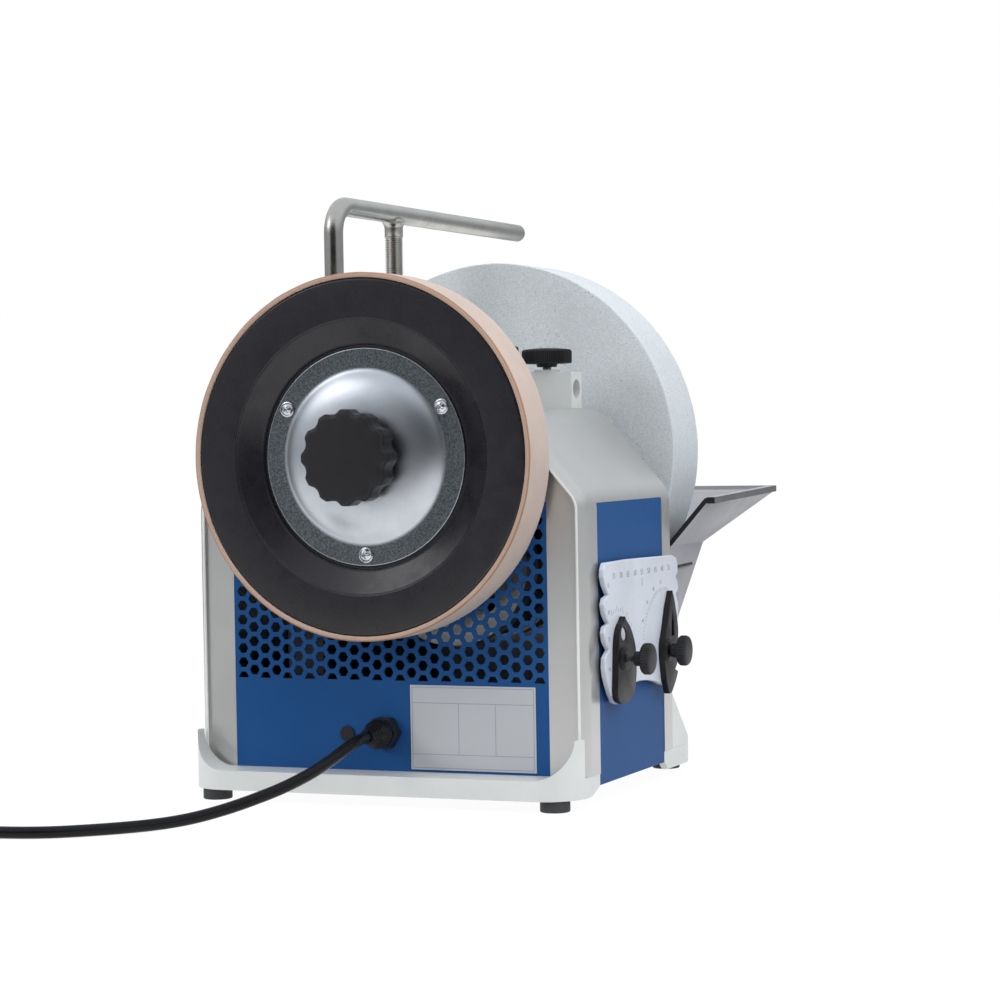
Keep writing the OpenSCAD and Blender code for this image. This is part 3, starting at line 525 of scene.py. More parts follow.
def coil_points():
    """Turns wound in flat layers of two, then a loop off the outer turn and up into the plug."""
    entry = Matrix.Rotation(PLUG_TURN, 3, "Z") @ (PLUG_OFFSET + Vector((PLUG_TAIL, 0, 0))) + COIL_AT
    heading = degrees(PLUG_TURN)
    loop = ring_point(entry, CORD_BEND, heading + 90, 0)
    apart = loop - COIL_AT
    off = acos((COIL_OUTER - CORD_BEND) / apart.length)
    leave = degrees(atan2(apart.y, apart.x) - off) % 360
    steps = coil_steps()
    last = (leave - COIL_START) % 360 + 360 * (steps[-1][0] // 360)
    steps.append((last, COIL_OUTER, COIL_LAYERS - 1))
    count = round(last / COIL_STEP)
    points = []
    for i in range(count):
        a = last * i / count
        for (a0, r0, l0), (a1, r1, l1) in zip(steps, steps[1:]):
            if a0 <= a <= a1:
                t = smoothstep((a - a0) / max(a1 - a0, 1e-9))
                r, layer = r0 + (r1 - r0) * t, l0 + (l1 - l0) * t
        points.append(ring_point(COIL_AT, r, COIL_START + a, COIL_FLOOR + CORD_LAY * layer))
    # the loop: a straight run, then one bend into the plug
    start, turn = ring_point(COIL_AT, COIL_OUTER, leave, 0), ring_point(loop, CORD_BEND, leave, 0)
    bend = (heading - 90 - leave) % 360
    flat = [start.lerp(turn, i / 5) for i in range(5)]
    flat += [ring_point(loop, CORD_BEND, leave + bend * i / 16, 0) for i in range(17)]
    for i, p in enumerate(flat):
        rise = (PLUG_Z - COIL_TOP) * smoothstep(i / (len(flat) - 2))
        points.append(Vector((p.x, p.y, COIL_TOP + rise)))
    return points


def spline_through(points, per):
    """A Catmull-Rom curve through the points."""
    pts = [Vector(p) for p in points]
    ext = [pts[0] * 2 - pts[1]] + pts + [pts[-1] * 2 - pts[-2]]
    out = []
    for i in range(1, len(ext) - 2):
        p0, p1, p2, p3 = ext[i - 1:i + 3]
        for t in (k / per for k in range(per)):
            out.append(0.5 * ((2 * p1) + (p2 - p0) * t + (2 * p0 - 5 * p1 + 4 * p2 - p3) * t * t
                              + (3 * p1 - p0 - 3 * p2 + p3) * t ** 3))
    return out + [pts[-1]]


def make_cord():
    points = spline_through(CORD_ROUTE + coil_points(), 3)
    curve = bpy.data.curves.new("power_cord_lead", "CURVE")
    curve.dimensions = "3D"
    spline = curve.splines.new("POLY")
    spline.points.add(len(points) - 1)
    for p, co in zip(spline.points, points):
        p.co = at(*co).to_4d()
    spline.use_smooth = True
    curve.bevel_depth, curve.bevel_resolution = CORD_D / 2 * MM, 4
    curve.use_fill_caps = True
    curve.materials.append(SHEATH)
    obj = bpy.data.objects.new("power_cord_lead", curve)
    bpy.context.scene.collection.objects.link(obj)
    long = sum((b - a).length for a, b in zip(points, points[1:])) * MM
    return stands_for(obj, "power_cord", "cord_coil"), long


def rounded_square(power, n):
    """Points round a superellipse of half-width 1: power 2 is a circle, and more is squarer."""
    def bent(v):
        return copysign(abs(v) ** (2 / power), v)
    return [(bent(cos(TAU * i / n)), bent(sin(TAU * i / n))) for i in range(n)]


# Section of the plug along its own X: half-width, half-height and squareness
PLUG_BODY = [(PLUG_TAIL, 4.6, 4.6, 2), (-33.4, 5.0, 5.0, 2), (-21, 5.2, 5.2, 2), (-19.5, 6.2, 6.0, 2),
             (-14, 8.6, 7.6, 2.1), (-8, 12.2, 9.6, 2.3), (-2, 15.2, 11.2, 2.5), (3, 17.0, 12.2, 2.7),
             (7, 17.9, 12.7, 2.9), (10, 18.2, 12.9, 3), (11.2, 18.0, 12.7, 3), (11.8, 17.2, 12.0, 3),
             (12, 16, 11, 3), (12, 0, 0, 3)]
PLUG_SIDES, PLUG_STEP = 48, 0.7
PIN_PITCH = 19


def finger_dent(x):
    """Depth of the ribs on the plug's tail and of the ridges on its grip."""
    if -33 < x < -21:
        return 0.45 * (0.5 + 0.5 * cos(TAU * x / 3.0))
    if -9 < x < 6:
        wave = 0.5 * (0.5 + 0.5 * cos(TAU * x / 3.6))
        return wave * smoothstep((x + 9) / 3) * smoothstep((6 - x) / 3)
    return 0.0


def make_plug():
    """A moulded round-pin plug: ribbed tail, waisted grip with finger ridges, flat face with two pins."""
    bm, place = bmesh.new(), plug_place()
    stations = []
    for a, b in zip(PLUG_BODY, PLUG_BODY[1:]):
        span = max(1, round((b[0] - a[0]) / PLUG_STEP))
        stations += [[p + (q - p) * k / span for p, q in zip(a, b)] for k in range(span)]
    stations.append(PLUG_BODY[-1])
    rings = []
    for x, w, h, power in stations:
        dent = finger_dent(x)
        outline = rounded_square(power, PLUG_SIDES) if w else [(0, 0)]
        rings.append([bm.verts.new(place @ Vector((x, (w - dent) * u, (h - dent) * v))) for u, v in outline])
    bridge(bm, rings)
    bm.faces.new(rings[0])
    body = smooth(mesh_object("mains_plug_body", bm, SHEATH), 40)
    stands_for(body, "mains_plug")
    pin = fillet([(0, 19.9), (1.9, 20), (2.4, 19), (2.4, 0.5), (0, 0.5)], [0, 0.4, 1.0, 0, 0], 3)
    bm = bmesh.new()
    for y in (-PIN_PITCH / 2, PIN_PITCH / 2):
        root = place @ Matrix.Translation((11, y, 0)) @ Matrix.Rotation(pi / 2, 4, "Y")
        lathe(bm, pin, root, 28, False)
    pins = smooth(mesh_object("mains_plug_pins", bm, STEEL), 40)
    added_to("mains_plug", pins)
    return [body, pins]


def make_tie():
    """A hook-and-loop strap round the coil."""
    inner, outer = COIL_INNER - CORD_D / 2 - 0.5, COIL_OUTER + CORD_D / 2 + 0.5
    bottom, top = 0.12, COIL_TOP + CORD_D / 2 + 0.25
    thick, half = 0.63, 3.9
    loop = fillet([(inner, bottom), (outer, bottom), (outer, top), (inner, top), (inner, bottom)],
                  [0, 2.2, 3.2, 3.2, 0], 5)[:-1]
    place = (Matrix.Translation(at(COIL_AT.x, COIL_AT.y, 0)) @ Matrix.Rotation(radians(40), 4, "Z")
             @ Matrix.Rotation(pi / 2, 4, "X") @ Matrix.Scale(MM, 4))
    bm, rings = bmesh.new(), []
    for x, y in loop:
        far_x = x + copysign(thick, x - (inner + outer) / 2)
        far_y = max(y + copysign(thick, y - (top + bottom) / 2), 0.02)
        corners = ((x, y, -half), (x, y, half), (far_x, far_y, half), (far_x, far_y, -half))
        rings.append([bm.verts.new(place @ Vector(c)) for c in corners])
    bridge(bm, rings + [rings[0]])
    strap = mesh_object("cord_tie_strap", bm, BLACK)
    return stands_for(rounded_edges(strap, 0.2, 1, 50), "cord_tie")


def make_strain_relief():
    """A tapered rubber sleeve with bending ribs, screwed into the gland."""
    profile = [(3.45, 0.0), (4.3, 0.0), (4.6, 0.5)]
    for h in (1.2 + 0.32 * k for k in range(32)):
        groove = 0.55 * (0.5 + 0.5 * cos(TAU * h / 2.6))
        profile.append((4.6 + (h / 12) ** 1.5 * 2.2 - groove, h))
    profile += fillet([(7.0, 12), (9.1, 14.6), (9.1, 19.6), (8.7, 19.95), (3.45, 19.95)],
                      [0, 1.4, 0.5, 0.3, 0], 3)
    boot = lathed("strain_relief_boot", [SHEATH], 40, profile, along("+Y", *GLAND_MOUTH), 72)
    return stands_for(boot, "strain_relief")


tie, boot, plug = make_tie(), make_strain_relief(), make_plug()
lead, lead_length = make_cord()

# ---------- housing ----------

HALF_W, BASE_TOP, SHOULDER_Z, TOP_HALF, BODY_TOP = 129.0, 19.0, 184.0, 83.0, 237.5
OUTER_R, CORNER_R, WALL = 20.0, 11.0, 4.7
REAR_Y, CORNER_Y, WEB_Y, WEB_T = 189.5, 44, 37.0, 3.0
CORNER_STEPS = 12


def corner(a, b, c, r):
    """Points of the corner at b of the path a-b-c, rounded to radius r."""
    u, v = (a - b).normalized(), (c - b).normalized()
    half = acos(max(-1.0, min(1.0, u.dot(v)))) / 2
    centre = b + (u + v).normalized() * r / sin(half)
    p, q = b + u * r / tan(half) - centre, b + v * r / tan(half) - centre
    turn = p.angle_signed(q) / CORNER_STEPS
    return [centre + Matrix.Rotation(-turn * i, 2) @ p for i in range(CORNER_STEPS + 1)]


def outline(t):
    """The housing's outline in (X, Z), set in by t, from its right foot over the top to its left."""
    foot, side = Vector((HALF_W, BASE_TOP)), Vector((HALF_W, SHOULDER_Z))
    top, mid = Vector((TOP_HALF, BODY_TOP)), Vector((0, BODY_TOP))

    def set_in(a, b, c):
        u, v = (a - b).normalized(), (c - b).normalized()
        return b + (u + v).normalized() * t / sin(acos(u.dot(v)) / 2)

    s, u = set_in(foot, side, top), set_in(side, top, mid)
    low, high = Vector((HALF_W - t, BASE_TOP)), Vector((0, BODY_TOP - t))
    right = [low] + corner(low, s, u, OUTER_R - t) + corner(s, u, high, OUTER_R - t) + [high]
    return right + [Vector((-p.x, p.y)) for p in reversed(right[:-1])]


def cut(obj, *cutters):
    """The object with the cutters' shapes taken out of it."""
    for c in cutters:
        m = obj.modifiers.new("cut", "BOOLEAN")
        m.operation, m.solver, m.object = "DIFFERENCE", "EXACT", c
    baked(obj)
    for c in cutters:
        bpy.data.objects.remove(c)
    return obj


def block(low, high):
    bm = bmesh.new()
    bmesh.ops.create_cube(bm, size=1)
    a, b = at(*low), at(*high)
    for v in bm.verts:
        v.co = Vector([(a[k] + b[k]) / 2 + v.co[k] * (b[k] - a[k]) for k in range(3)])
    return mesh_object("cutter", bm)


def rod(place, radius, length):
    bm = bmesh.new()
    lathe(bm, [(0, 0), (radius, 0), (radius, length), (0, length)], place, 64, False)
    return mesh_object("cutter", bm)


def make_housing():
    """The cast cover: a thin wall with a rounded front edge, let in at the sides for the blue panels, with a
    painted highlight line along the crest of that edge.
    """
    arc = [(CORNER_R - CORNER_R * cos(a), CORNER_Y - CORNER_R * sin(a))
           for a in (radians(d) for d in (9, 18, 26, 34, 42, 47))]
    section = [(0.9, REAR_Y), (0.3, REAR_Y - 0.25), (0, REAR_Y - 0.9), (0, 120), (0, CORNER_Y)] + arc
    crest = [(4.0, 35.15), (4.6, 34.85), (5.3, 34.85), (5.8, 35.15)]
    painted_highlight_rows = range(len(section), len(section) + len(crest) - 1)
    section += crest + [(5.95, 35.7), (5.95, 37.2), (WALL, 37.4), (WALL, REAR_Y)]
    bm = bmesh.new()
    rings = [[bm.verts.new(at(p.x, y, p.y)) for p in outline(t)] for t, y in section]
    for k, (p, q) in enumerate(zip(rings, rings[1:] + rings[:1])):
        for i in range(len(p) - 1):
            face = bm.faces.new((p[i], p[i + 1], q[i + 1], q[i]))
            # the crest's faces take the painted highlight
            face.material_index = int(k in painted_highlight_rows)
    bm.faces.new([r[0] for r in rings])
    bm.faces.new([r[-1] for r in rings])
    cover = mesh_object("housing_cover", bm, CAST, CREST_HIGHLIGHT)
    panels = [block((x, 57, 0), (x + 13, 173.5, 180.5)) for x in (127, -140)]
    cut(cover, *panels, block((-140, 100, 60), (-120, 128, 82)))
    stands_for(weighted(smooth(cover, 28)), "housing_shell")


def make_front_web():
    """The cast wall inside the front edge, open below the shaft, with a hole for it."""
    bm, edge = bmesh.new(), outline(WALL - 0.3)
    front, back = ([bm.verts.new(at(p.x, y, p.y)) for p in edge] for y in (WEB_Y, WEB_Y + WEB_T))
    bm.faces.new(front)
    bm.faces.new(back[::-1])
    bridge(bm, [front, back])
    web = mesh_object("housing_front_web", bm, CAST)
    cut(web, block((-104.5, 30, 0), (104.5, 50, 182)), rod(on_shaft(30), 10, 20))
    added_to("housing_shell", smooth(web, 30))


# ---------- wheels and shaft ----------

PLATE_R, PLATE_T, PLATE_Y = 65.0, 1.5, 8.7
TYRE_R, HUB_R, WHEEL_W = 110.0, 106.7, 31.0
SCREWS_R = 58.5
STONE_R, STONE_W, STONE_Y = 125, 50, 211


def make_hub():
    """The moulded wheel body: a flat outer ring, a dished ring, and a seat for the plate."""
    section = fillet([(6, 12), (40, 12), (40, 10.2), (66.9, 10.2), (67.1, 8.7), (68.3, 7.6), (81.6, 1.75),
                      (82.4, 0.62), (105.6, 0.6), (HUB_R, 1.7), (HUB_R, 30.5), (101.7, 30.5), (101.7, 6),
                      (88, 6), (88, 30), (84, 30), (84, 8), (69, 14.5), (14, 15.5), (14, 31), (6, 31)],
                     [0, 0.3, 0.3, 0.4, 0.5, 0.6, 0.5, 0.6, 0.8, 0.8, 0.5, 0.5, 1.5, 1.5, 0.5, 0.5, 1, 2, 1.5,
                      0.5, 0])
    stands_for(lathed("honing_wheel_body", [HUB], 40, section, on_shaft(0), 192), "honing_hub")


def make_tyre():
    """The leather tyre: a slightly crowned tread with soft edges, its cut edges browner than its face."""
    edge = [(HUB_R, 0.25), (HUB_R + 0.3, 0.02), (TYRE_R - 0.9, 0.0), (TYRE_R - 0.35, 0.22),
            (TYRE_R - 0.12, 0.7)]
    tread = [(TYRE_R - 0.1 + 0.1 * sin(pi * t), 1.3 + (WHEEL_W - 2.6) * t)
             for t in (k / 14 for k in range(15))]
    rows = edge + tread + [(r, WHEEL_W - h) for r, h in reversed(edge)]

    def worn(r, h, a):
        if r < HUB_R + 1:
            return r, h
        p = Vector((r * cos(a), r * sin(a), h))
        return min(TYRE_R, r - 0.14 + 0.16 * noise.noise(p * 0.09) + 0.07 * noise.noise(p * 0.6)), h

    bm, place = bmesh.new(), on_shaft(0)
    lathe(bm, rows, place, 320, bend=worn)
    to_wheel = place.inverted()
    for f in bm.faces:
        c = to_wheel @ f.calc_center_median()
        inside = min(c.z, WHEEL_W - c.z)
        if inside < 0.75 and hypot(c.x, c.y) > TYRE_R - 1.1:
            f.material_index = 2
        elif inside < 0.5:
            f.material_index = 1
    tyre = mesh_object("leather_strip", bm, LEATHER_TREAD, LEATHER_EDGE, LEATHER_CORNER)
    stands_for(smooth(tyre, 50), "leather_tyre")


def make_plate():
    """The pressed plate: a flat ring and a shallow dome."""
    dome = [(6.1, 0.5), (19, 0.5), (24, 0.62), (29, 0.95), (34, 1.6), (38.5, 2.5), (42.5, 3.65), (45.6, 4.9),
            (48, 6.1), (49.9, 7.2), (51.3, 8.0), (52.5, 8.45), (53.8, 8.66), (55.5, PLATE_Y)]
    rim = fillet([(64.0, PLATE_Y), (PLATE_R, PLATE_Y), (PLATE_R, 10.2), (64, 10.2)], [0, 0.35, 0.3, 0], 3)
    back = [(r - 0.5, h + PLATE_T) for r, h in reversed(dome[1:-1])] + [(6.1, 2.0)]
    stands_for(lathed("pressed_plate", [GALVANISED], 50, dome + rim + back, on_shaft(0), 192), "cover_plate")


def cross_recess(r, h, a):
    """A bend for lathe(): sinks a cross recess into a screw's head."""
    def slot_at(u, v):
        return smoothstep((0.5 - abs(u)) / 0.22 + 0.5) * smoothstep((2.5 - abs(v)) / 0.8 + 0.3)

    if r > 3.3:
        return r, h
    x, y = r * cos(a), r * sin(a)
    return r, h - max(slot_at(x, y), slot_at(y, x)) * min(1.7, 0.5 + 0.55 * (2.6 - min(r, 2.6)))


def make_screws():
    """Three pan-head screws with cross recesses, each turned its own way."""
    head = [(4.7, 0.0), (4.75, 0.35), (4.6, 0.62), (4.1, 0.72), (3.95, 0.8)]
    head += [(r, 1.1 + 1.75 * (1 - (r / 3.95) ** 2.6)) for r in (3.9 * (1 - i / 20) for i in range(20))]
    bm = bmesh.new()
    for a, own in ((30, 0.5), (150, 1.2), (270, 0.2)):
        place = (on_shaft(0) @ Matrix.Rotation(radians(-a), 4, "Z")
                 @ Matrix.Translation((SCREWS_R, 0, PLATE_Y)) @ Matrix.Rotation(pi, 4, "X")
                 @ Matrix.Rotation(own, 4, "Z"))
        rings = lathe(bm, head + [(0, 1.35)], place, 64, False, cross_recess)
        bm.faces.new(rings[0][::-1])
    stands_for(smooth(mesh_object("plate_screws", bm, ZINC), 42), "cover_screws")


def make_honing_knob():
    """A twelve-lobed knob with rounded edges and a bare, faintly domed face."""
    full, cut_at, cut_r, half_lobe, blend = 28.5, 32.6, 6.4, TAU / 24, 1.6

    def edge(a):
        off = abs((a + half_lobe) % (2 * half_lobe) - half_lobe) - half_lobe
        inside = cut_r ** 2 - (cut_at * sin(off)) ** 2
        if inside <= 0:
            return full
        hollow = cut_at * cos(off) - sqrt(inside)
        share = max(0.0, min(1.0, 0.5 + 0.5 * (full - hollow) / blend))
        return full * (1 - share) + hollow * share - blend * share * (1 - share)

    def lobed(r, h, a):
        return r + (edge(a) - full) * smoothstep((r - 13) / 12), h

    profile = [(0, 0.0), (8, 0.06), (15, 0.2), (20, 0.42), (23, 0.6), (25, 0.75)]
    profile += [(25.7 + 2.8 * sin(b), 3.4 - 2.6 * cos(b))
                for b in (radians(d) for d in range(10, 91, 16))]
    profile += [(full, 6), (full, 10), (full, 15.2), (28.1, 16.4), (27, 17), (24, 17), (18, 16.4),
                (15.4, 16.2), (15, 17), (15, 21.6), (14.4, 22.2), (6.1, 22.2)]
    knob = lathed("honing_wheel_knob", [BLACK], 50, profile, on_shaft(-22), 288, False, lobed)
    stands_for(knob, "honing_knob")


def make_grindstone():
    """The stone, its rim very slightly uneven."""
    edge = fillet([(6, 0), (STONE_R, 0), (STONE_R, STONE_W), (6, STONE_W)], [0, 1.0, 1.0, 0])
    across = (40, 80, 110)
    profile = [edge[0]] + [(r, 0) for r in across] + edge[1:6] + [(STONE_R, h) for h in (12, 25, 38)]
    profile += edge[6:-1] + [(r, STONE_W) for r in reversed(across)] + [edge[-1]]

    def dressed(r, h, a):
        if r < 120:
            return r, h
        return r - 0.12 + 0.1 * noise.noise(Vector((cos(a) * 9, sin(a) * 9, h * 0.1))), h

    stone = lathed("stone_wheel", [STONE], 50, profile, on_shaft(STONE_Y), 256, bend=dressed)
    stands_for(stone, "grindstone")


# ---------- knobs ----------

POINTER_X = (134.8, 138.5)  # the pointers' back and front
DIAMETER_PIVOT, ANGLE_PIVOT = (75, 86.5), (154.5, 85)  # the gauge knobs' centres, in (Y, Z)


def threaded(bm, place, radius, low, high, pitch, depth, sides=24):
    """A screw thread between two heights, with a lead-in at each end."""
    def thread(r, z, a):
        ease = smoothstep((z - low) / pitch) * smoothstep((high - z) / pitch)
        return r - depth * ease * (0.5 + 0.5 * cos(TAU * z / pitch - a)), z

    count = max(2, round((high - low) / pitch * 6))
    heights = [low + (high - low) * i / count for i in range(count + 1)]
    rings = lathe(bm, [(radius, z) for z in heights], place, sides, False, thread)
    bm.faces.new(rings[0][::-1])
    bm.faces.new(rings[-1])


def add_screw(node, name, mat, slot, *thread):
    """A threaded screw on the body of a CAD node."""
    bm = bmesh.new()
    threaded(bm, *thread)
    added_to(node, smooth(mesh_object(name, bm, mat), 40))


def ridged(count, deep, least):
    """A bend for lathe(): fine ridges round whatever is wider than least."""
    def bend(r, h, a):
        return r - deep * (0.5 - 0.5 * cos(a * count)) ** 0.8 if r > least else r, h
    return bend


def make_lock_knob(node, place, stem):
    """A hand knob with a ridged rim and a dished underside, on a threaded steel stem."""
    head = fillet([(2.9, 1.6), (12.6, 1.6), (13.6, 0.0), (15.4, 0.0), (16, 0.7), (16, 7.9), (15.1, 8.9),
                   (13.6, 9.1), (12.9, 9.25), (8, 9.8), (0, 10)],
                  [0, 0.6, 0.4, 0.5, 0.5, 0.5, 0.7, 0.3, 1, 2, 0], 3)
    neck = fillet([(2.9, -2.2), (6.4, -2.2), (7.2, 1.8), (2.9, 1.8)], [0, 0.5, 0.3, 0], 3)
    bm = bmesh.new()
    lathe(bm, head, place, 432, False, ridged(72, 0.5, 15.0))
    lathe(bm, neck, place, 48)
    stands_for(smooth(mesh_object(node + "_head", bm, BLACK), 40), node)
    add_screw(node, node + "_stem", ZINC, "zinc_screw", place, 3.0, -stem, 1.9, 1.0, 0.45)


def make_thumb_knob(node, pivot, gap):
    """A gauge knob: a ridged, domed head on a collar, and a steel screw through the pointer."""
    place = along("+X", POINTER_X[0], *pivot)
    section = [(2.4, -5), (4.3, -5), (4.6, -0.6), (6, 0), (8.4, 0), (9.3, 0.8), (9.5, 1.6), (9.5, 4.4),
               (8.8, 5.6), (6.8, 6.3), (3.5, 6.55), (0, 6.6)]
    head = fillet([(r, gap + h) for r, h in section],
                  [0, 0.4, 0.6, 0.4, 0.5, 0.4, 0.4, 0.7, 0.9, 1.2, 1.5, 0])
    stands_for(lathed(node + "_head", [GREY], 40, head, place, 252, False, ridged(36, 0.5, 8.9)), node)
    add_screw(node, node + "_screw", DARK_STEEL, "dark_steel", place, 2.45, 0.0, gap - 4.8, 0.8, 0.3, 20)


# ---------- tool support ----------

LEG_X, SLEEVES_Y, ARM_Z, ARM_END, ARM_BEND, BAR_R = -50.0, (75.0, 165.0), 366.5, 381.0, 18.0, 6.0
THREAD_TOP = 352.0


def make_support():
    """One bent bar with its far end rounded, and a threaded leg welded under it."""
    near, far = SLEEVES_Y
    path = [(LEG_X, near, z) for z in (205.4, 206.2, 240, 280, 320)]
    for a in (radians(90 * k / 16) for k in range(17)):
        path.append((LEG_X, near + ARM_BEND * (1 - cos(a)), ARM_Z - ARM_BEND * (1 - sin(a))))
    path += [(LEG_X, y, ARM_Z) for y in (130, 200, 300, *(ARM_END - d for d in (2.0, 1.2, 0.5, 0.1)))]
    radii = [BAR_R - 1] + [BAR_R] * (len(path) - 4) + [BAR_R - d for d in (0.25, 0.9, 1.9)]
    bm = bmesh.new()
    tube(bm, path, radii, 40)
    stands_for(smooth(mesh_object("support_bar", bm, BAR), 35), "tool_support")
    bm, place = bmesh.new(), along("+Z", LEG_X, far, 0)
    lathe(bm, [(0, 205), (5, 205), (5.6, 205.8), (5.6, 208)], place, 40, False)
    threaded(bm, place, BAR_R, 206.5, THREAD_TOP, 1.5, 0.92, 40)
    collar = ((-0.7, THREAD_TOP - 1.5), (0, THREAD_TOP), (0, 357), (0.25, 358.6), (0.9, 360.2), (1.7, 361.4),
              (1.4, 363), (-BAR_R, 363))
    lathe(bm, [(BAR_R + more, z) for more, z in collar], place, 40, False)
    added_to("tool_support", smooth(mesh_object("support_threaded_leg", bm, BAR), 38))


# ---------- gauge, switch and plate ----------

PLATE_FACE = 134.5  # the gauge plate's outer face
ACROSS, UP, OUT = Vector((0, 1, 0)), Vector((0, 0, 1)), Vector((1, 0, 0))  # directions on the gauge plate


def strip(bm, a, b, width, normal, lift=0.06):
    """A thin printed line from a to b, in mm, standing lift off the surface with that normal."""
    a, b, n = Vector(a), Vector(b), Vector(normal)
    side = (b - a).normalized().cross(n) * width / 2
    ends = (a - side, b - side, b + side, a + side)
    low, top = ([bm.verts.new(MACHINE @ (p + n * h)) for p in ends] for h in (-0.05, lift))
    bm.faces.new(top)
    bm.faces.new(low[::-1])
    bridge(bm, [low, top])


def figure(bm, text, size, middle):
    """A number laid on the gauge plate."""
    curve = bpy.data.curves.new("figure", "FONT")
    curve.body, curve.size, curve.align_x, curve.align_y = text, size, "CENTER", "CENTER"
    curve.extrude = 0.04
    obj = bpy.data.objects.new("figure", curve)
    mesh = bpy.data.meshes.new_from_object(obj)
    turn = Matrix((ACROSS, UP, OUT)).transposed().to_4x4()
    mesh.transform(Matrix.Translation(at(*(middle + OUT * 0.05))) @ Matrix.Scale(MM, 4) @ turn)
    bm.from_mesh(mesh)
    bpy.data.meshes.remove(mesh)
    bpy.data.objects.remove(obj)
    bpy.data.curves.remove(curve)


def ray(angle):
    """A direction on the gauge plate, at an angle in degrees from the machine's +Y towards its top."""
    return Vector((0, cos(radians(angle)), sin(radians(angle))))


def make_gauge_marks():
    """Scale marks and figures printed on the gauge plate."""
    bm, x = bmesh.new(), PLATE_FACE
    for i in range(9):
        figure(bm, str(75 - 5 * i), 5.2, Vector((x, 69.5 + i * 12.5, 136)))
    strip(bm, (x, 119.7, 127.6), (x, 119.7, 132.6), 1.0, OUT)
    centre = Vector((x, 158, 84))
    for i in range(25):
        way = ray(78 + i * 3.6)
        strip(bm, centre + way * (38.5 if i % 5 else 37.5), centre + way * 40.5, 0.45, OUT)
        if i % 5 == 0 and i:
            figure(bm, str(15 * (i // 5)), 3.4, centre + way * 44)
    centre = Vector((x, *DIAMETER_PIVOT))
    for i in range(13):
        way = ray(38 + i * 6)
        strip(bm, centre + way * 28, centre + way * (30 if i % 3 else 32), 0.4, OUT)
    for z, n in ((131, 25), (115, 30), (99, 35), (81, 40)):
        figure(bm, str(n), 3.6, Vector((x, 60, z)))
    added_to("angle_plate", mesh_object("gauge_scales", bm, MARK))


def make_pointer(node, width, *loops):
    """A flat pointer across X: its outline and holes in (Y, Z), its rims rounded by width."""
    bm, edges = bmesh.new(), []
    for loop in loops:
        vs = [bm.verts.new(at(POINTER_X[0], y, z)) for y, z in loop]
        edges += [bm.edges.new((vs[i], vs[(i + 1) % len(vs)])) for i in range(len(vs))]
    made = bmesh.ops.triangle_fill(bm, edges=edges, use_beauty=True, use_dissolve=False)
    faces = [f for f in made["geom"] if isinstance(f, bmesh.types.BMFace)]
    grown = bmesh.ops.extrude_face_region(bm, geom=faces)
    for v in grown["geom"]:
        if isinstance(v, bmesh.types.BMVert):
            v.co.x += (POINTER_X[1] - POINTER_X[0]) * MM
    bm.normal_update()
    weight = bm.edges.layers.float.new("bevel_weight_edge")
    for e in bm.edges:
        flat = [abs(f.normal.x) > 0.9 for f in e.link_faces]
        if len(flat) == 2 and flat[0] != flat[1]:
            e[weight] = 1.0
    obj = mesh_object(node + "_piece", bm, POINTER)
    b = obj.modifiers.new("bevel", "BEVEL")
    b.width, b.segments, b.limit_method = width * MM, 3, "WEIGHT"
    stands_for(smooth(baked(obj), 40), node)


def curved(points, keep=()):
    """A closed smooth curve through (Y, Z) points, with a corner left at each index in keep."""
    n, out = len(points), []
    for i in range(n):
        p0, p1, p2, p3 = (Vector(points[(i + k - 1) % n]) for k in range(4))
        a = Vector((0, 0)) if i in keep else (p2 - p0) / 2
        b = Vector((0, 0)) if (i + 1) % n in keep else (p3 - p1) / 2
        for t in (0, 0.25, 0.5, 0.75):
            out.append(p1 * (2 * t ** 3 - 3 * t * t + 1) + a * (t ** 3 - 2 * t * t + t)
                       + p2 * (3 * t * t - 2 * t ** 3) + b * (t ** 3 - t * t))
    return out


def ring_of(y, z, r):
    return [(y + r * cos(a), z + r * sin(a)) for a in (TAU * i / 24 for i in range(24))]


DIAMETER_POINTER = [(77.5, 111.6), (80.2, 108.8), (86, 105), (91, 99.5), (95, 92.5), (96.6, 84), (96.2, 76),
                    (94, 68.5), (90, 63.5), (83, 60.2), (76, 59.4), (69.5, 60), (64.3, 62.5), (62.7, 67.5),
                    (63.4, 74.3), (64.3, 86.2), (65.6, 96.9), (67.7, 102.7), (71.3, 106.8), (75, 109)]
DIAMETER_WINDOW = [(70.4, 102), (71.8, 105.2), (74.4, 105.6), (77.4, 104), (79.4, 101), (78.3, 97.8),
                   (74.4, 97.4), (71.4, 98.8)]
ANGLE_POINTER = [(165, 121.8), (168.5, 116), (171, 110), (173.5, 104), (175, 97.6), (174.9, 92),
                 (173.5, 84), (172, 75), (168.3, 72), (173.6, 70.2), (169.6, 65), (163.7, 60),
                 (160.5, 57.7), (156.6, 57.6), (153.9, 62.3), (151.3, 67.6), (149.7, 74), (148.1, 80.4),
                 (147.8, 85.5), (148.6, 90.4), (152.7, 97.6), (155.9, 104.9), (159.1, 112.2), (162.1, 117)]
ANGLE_SLOT = [(164.6, 110), (167, 101.5), (167.4, 93.5), (162, 93.5), (162.6, 102)]
SCREW_HOLE_R = 2.5


def make_pointers():
    make_pointer("diameter_pointer", 1.1, curved(DIAMETER_POINTER, (0,)), curved(DIAMETER_WINDOW),
                 ring_of(*DIAMETER_PIVOT, SCREW_HOLE_R))
    make_pointer("angle_pointer", 1.0, curved(ANGLE_POINTER, (0, 7, 8, 9, 12, 13)), ANGLE_SLOT,
                 ring_of(*ANGLE_PIVOT, SCREW_HOLE_R))


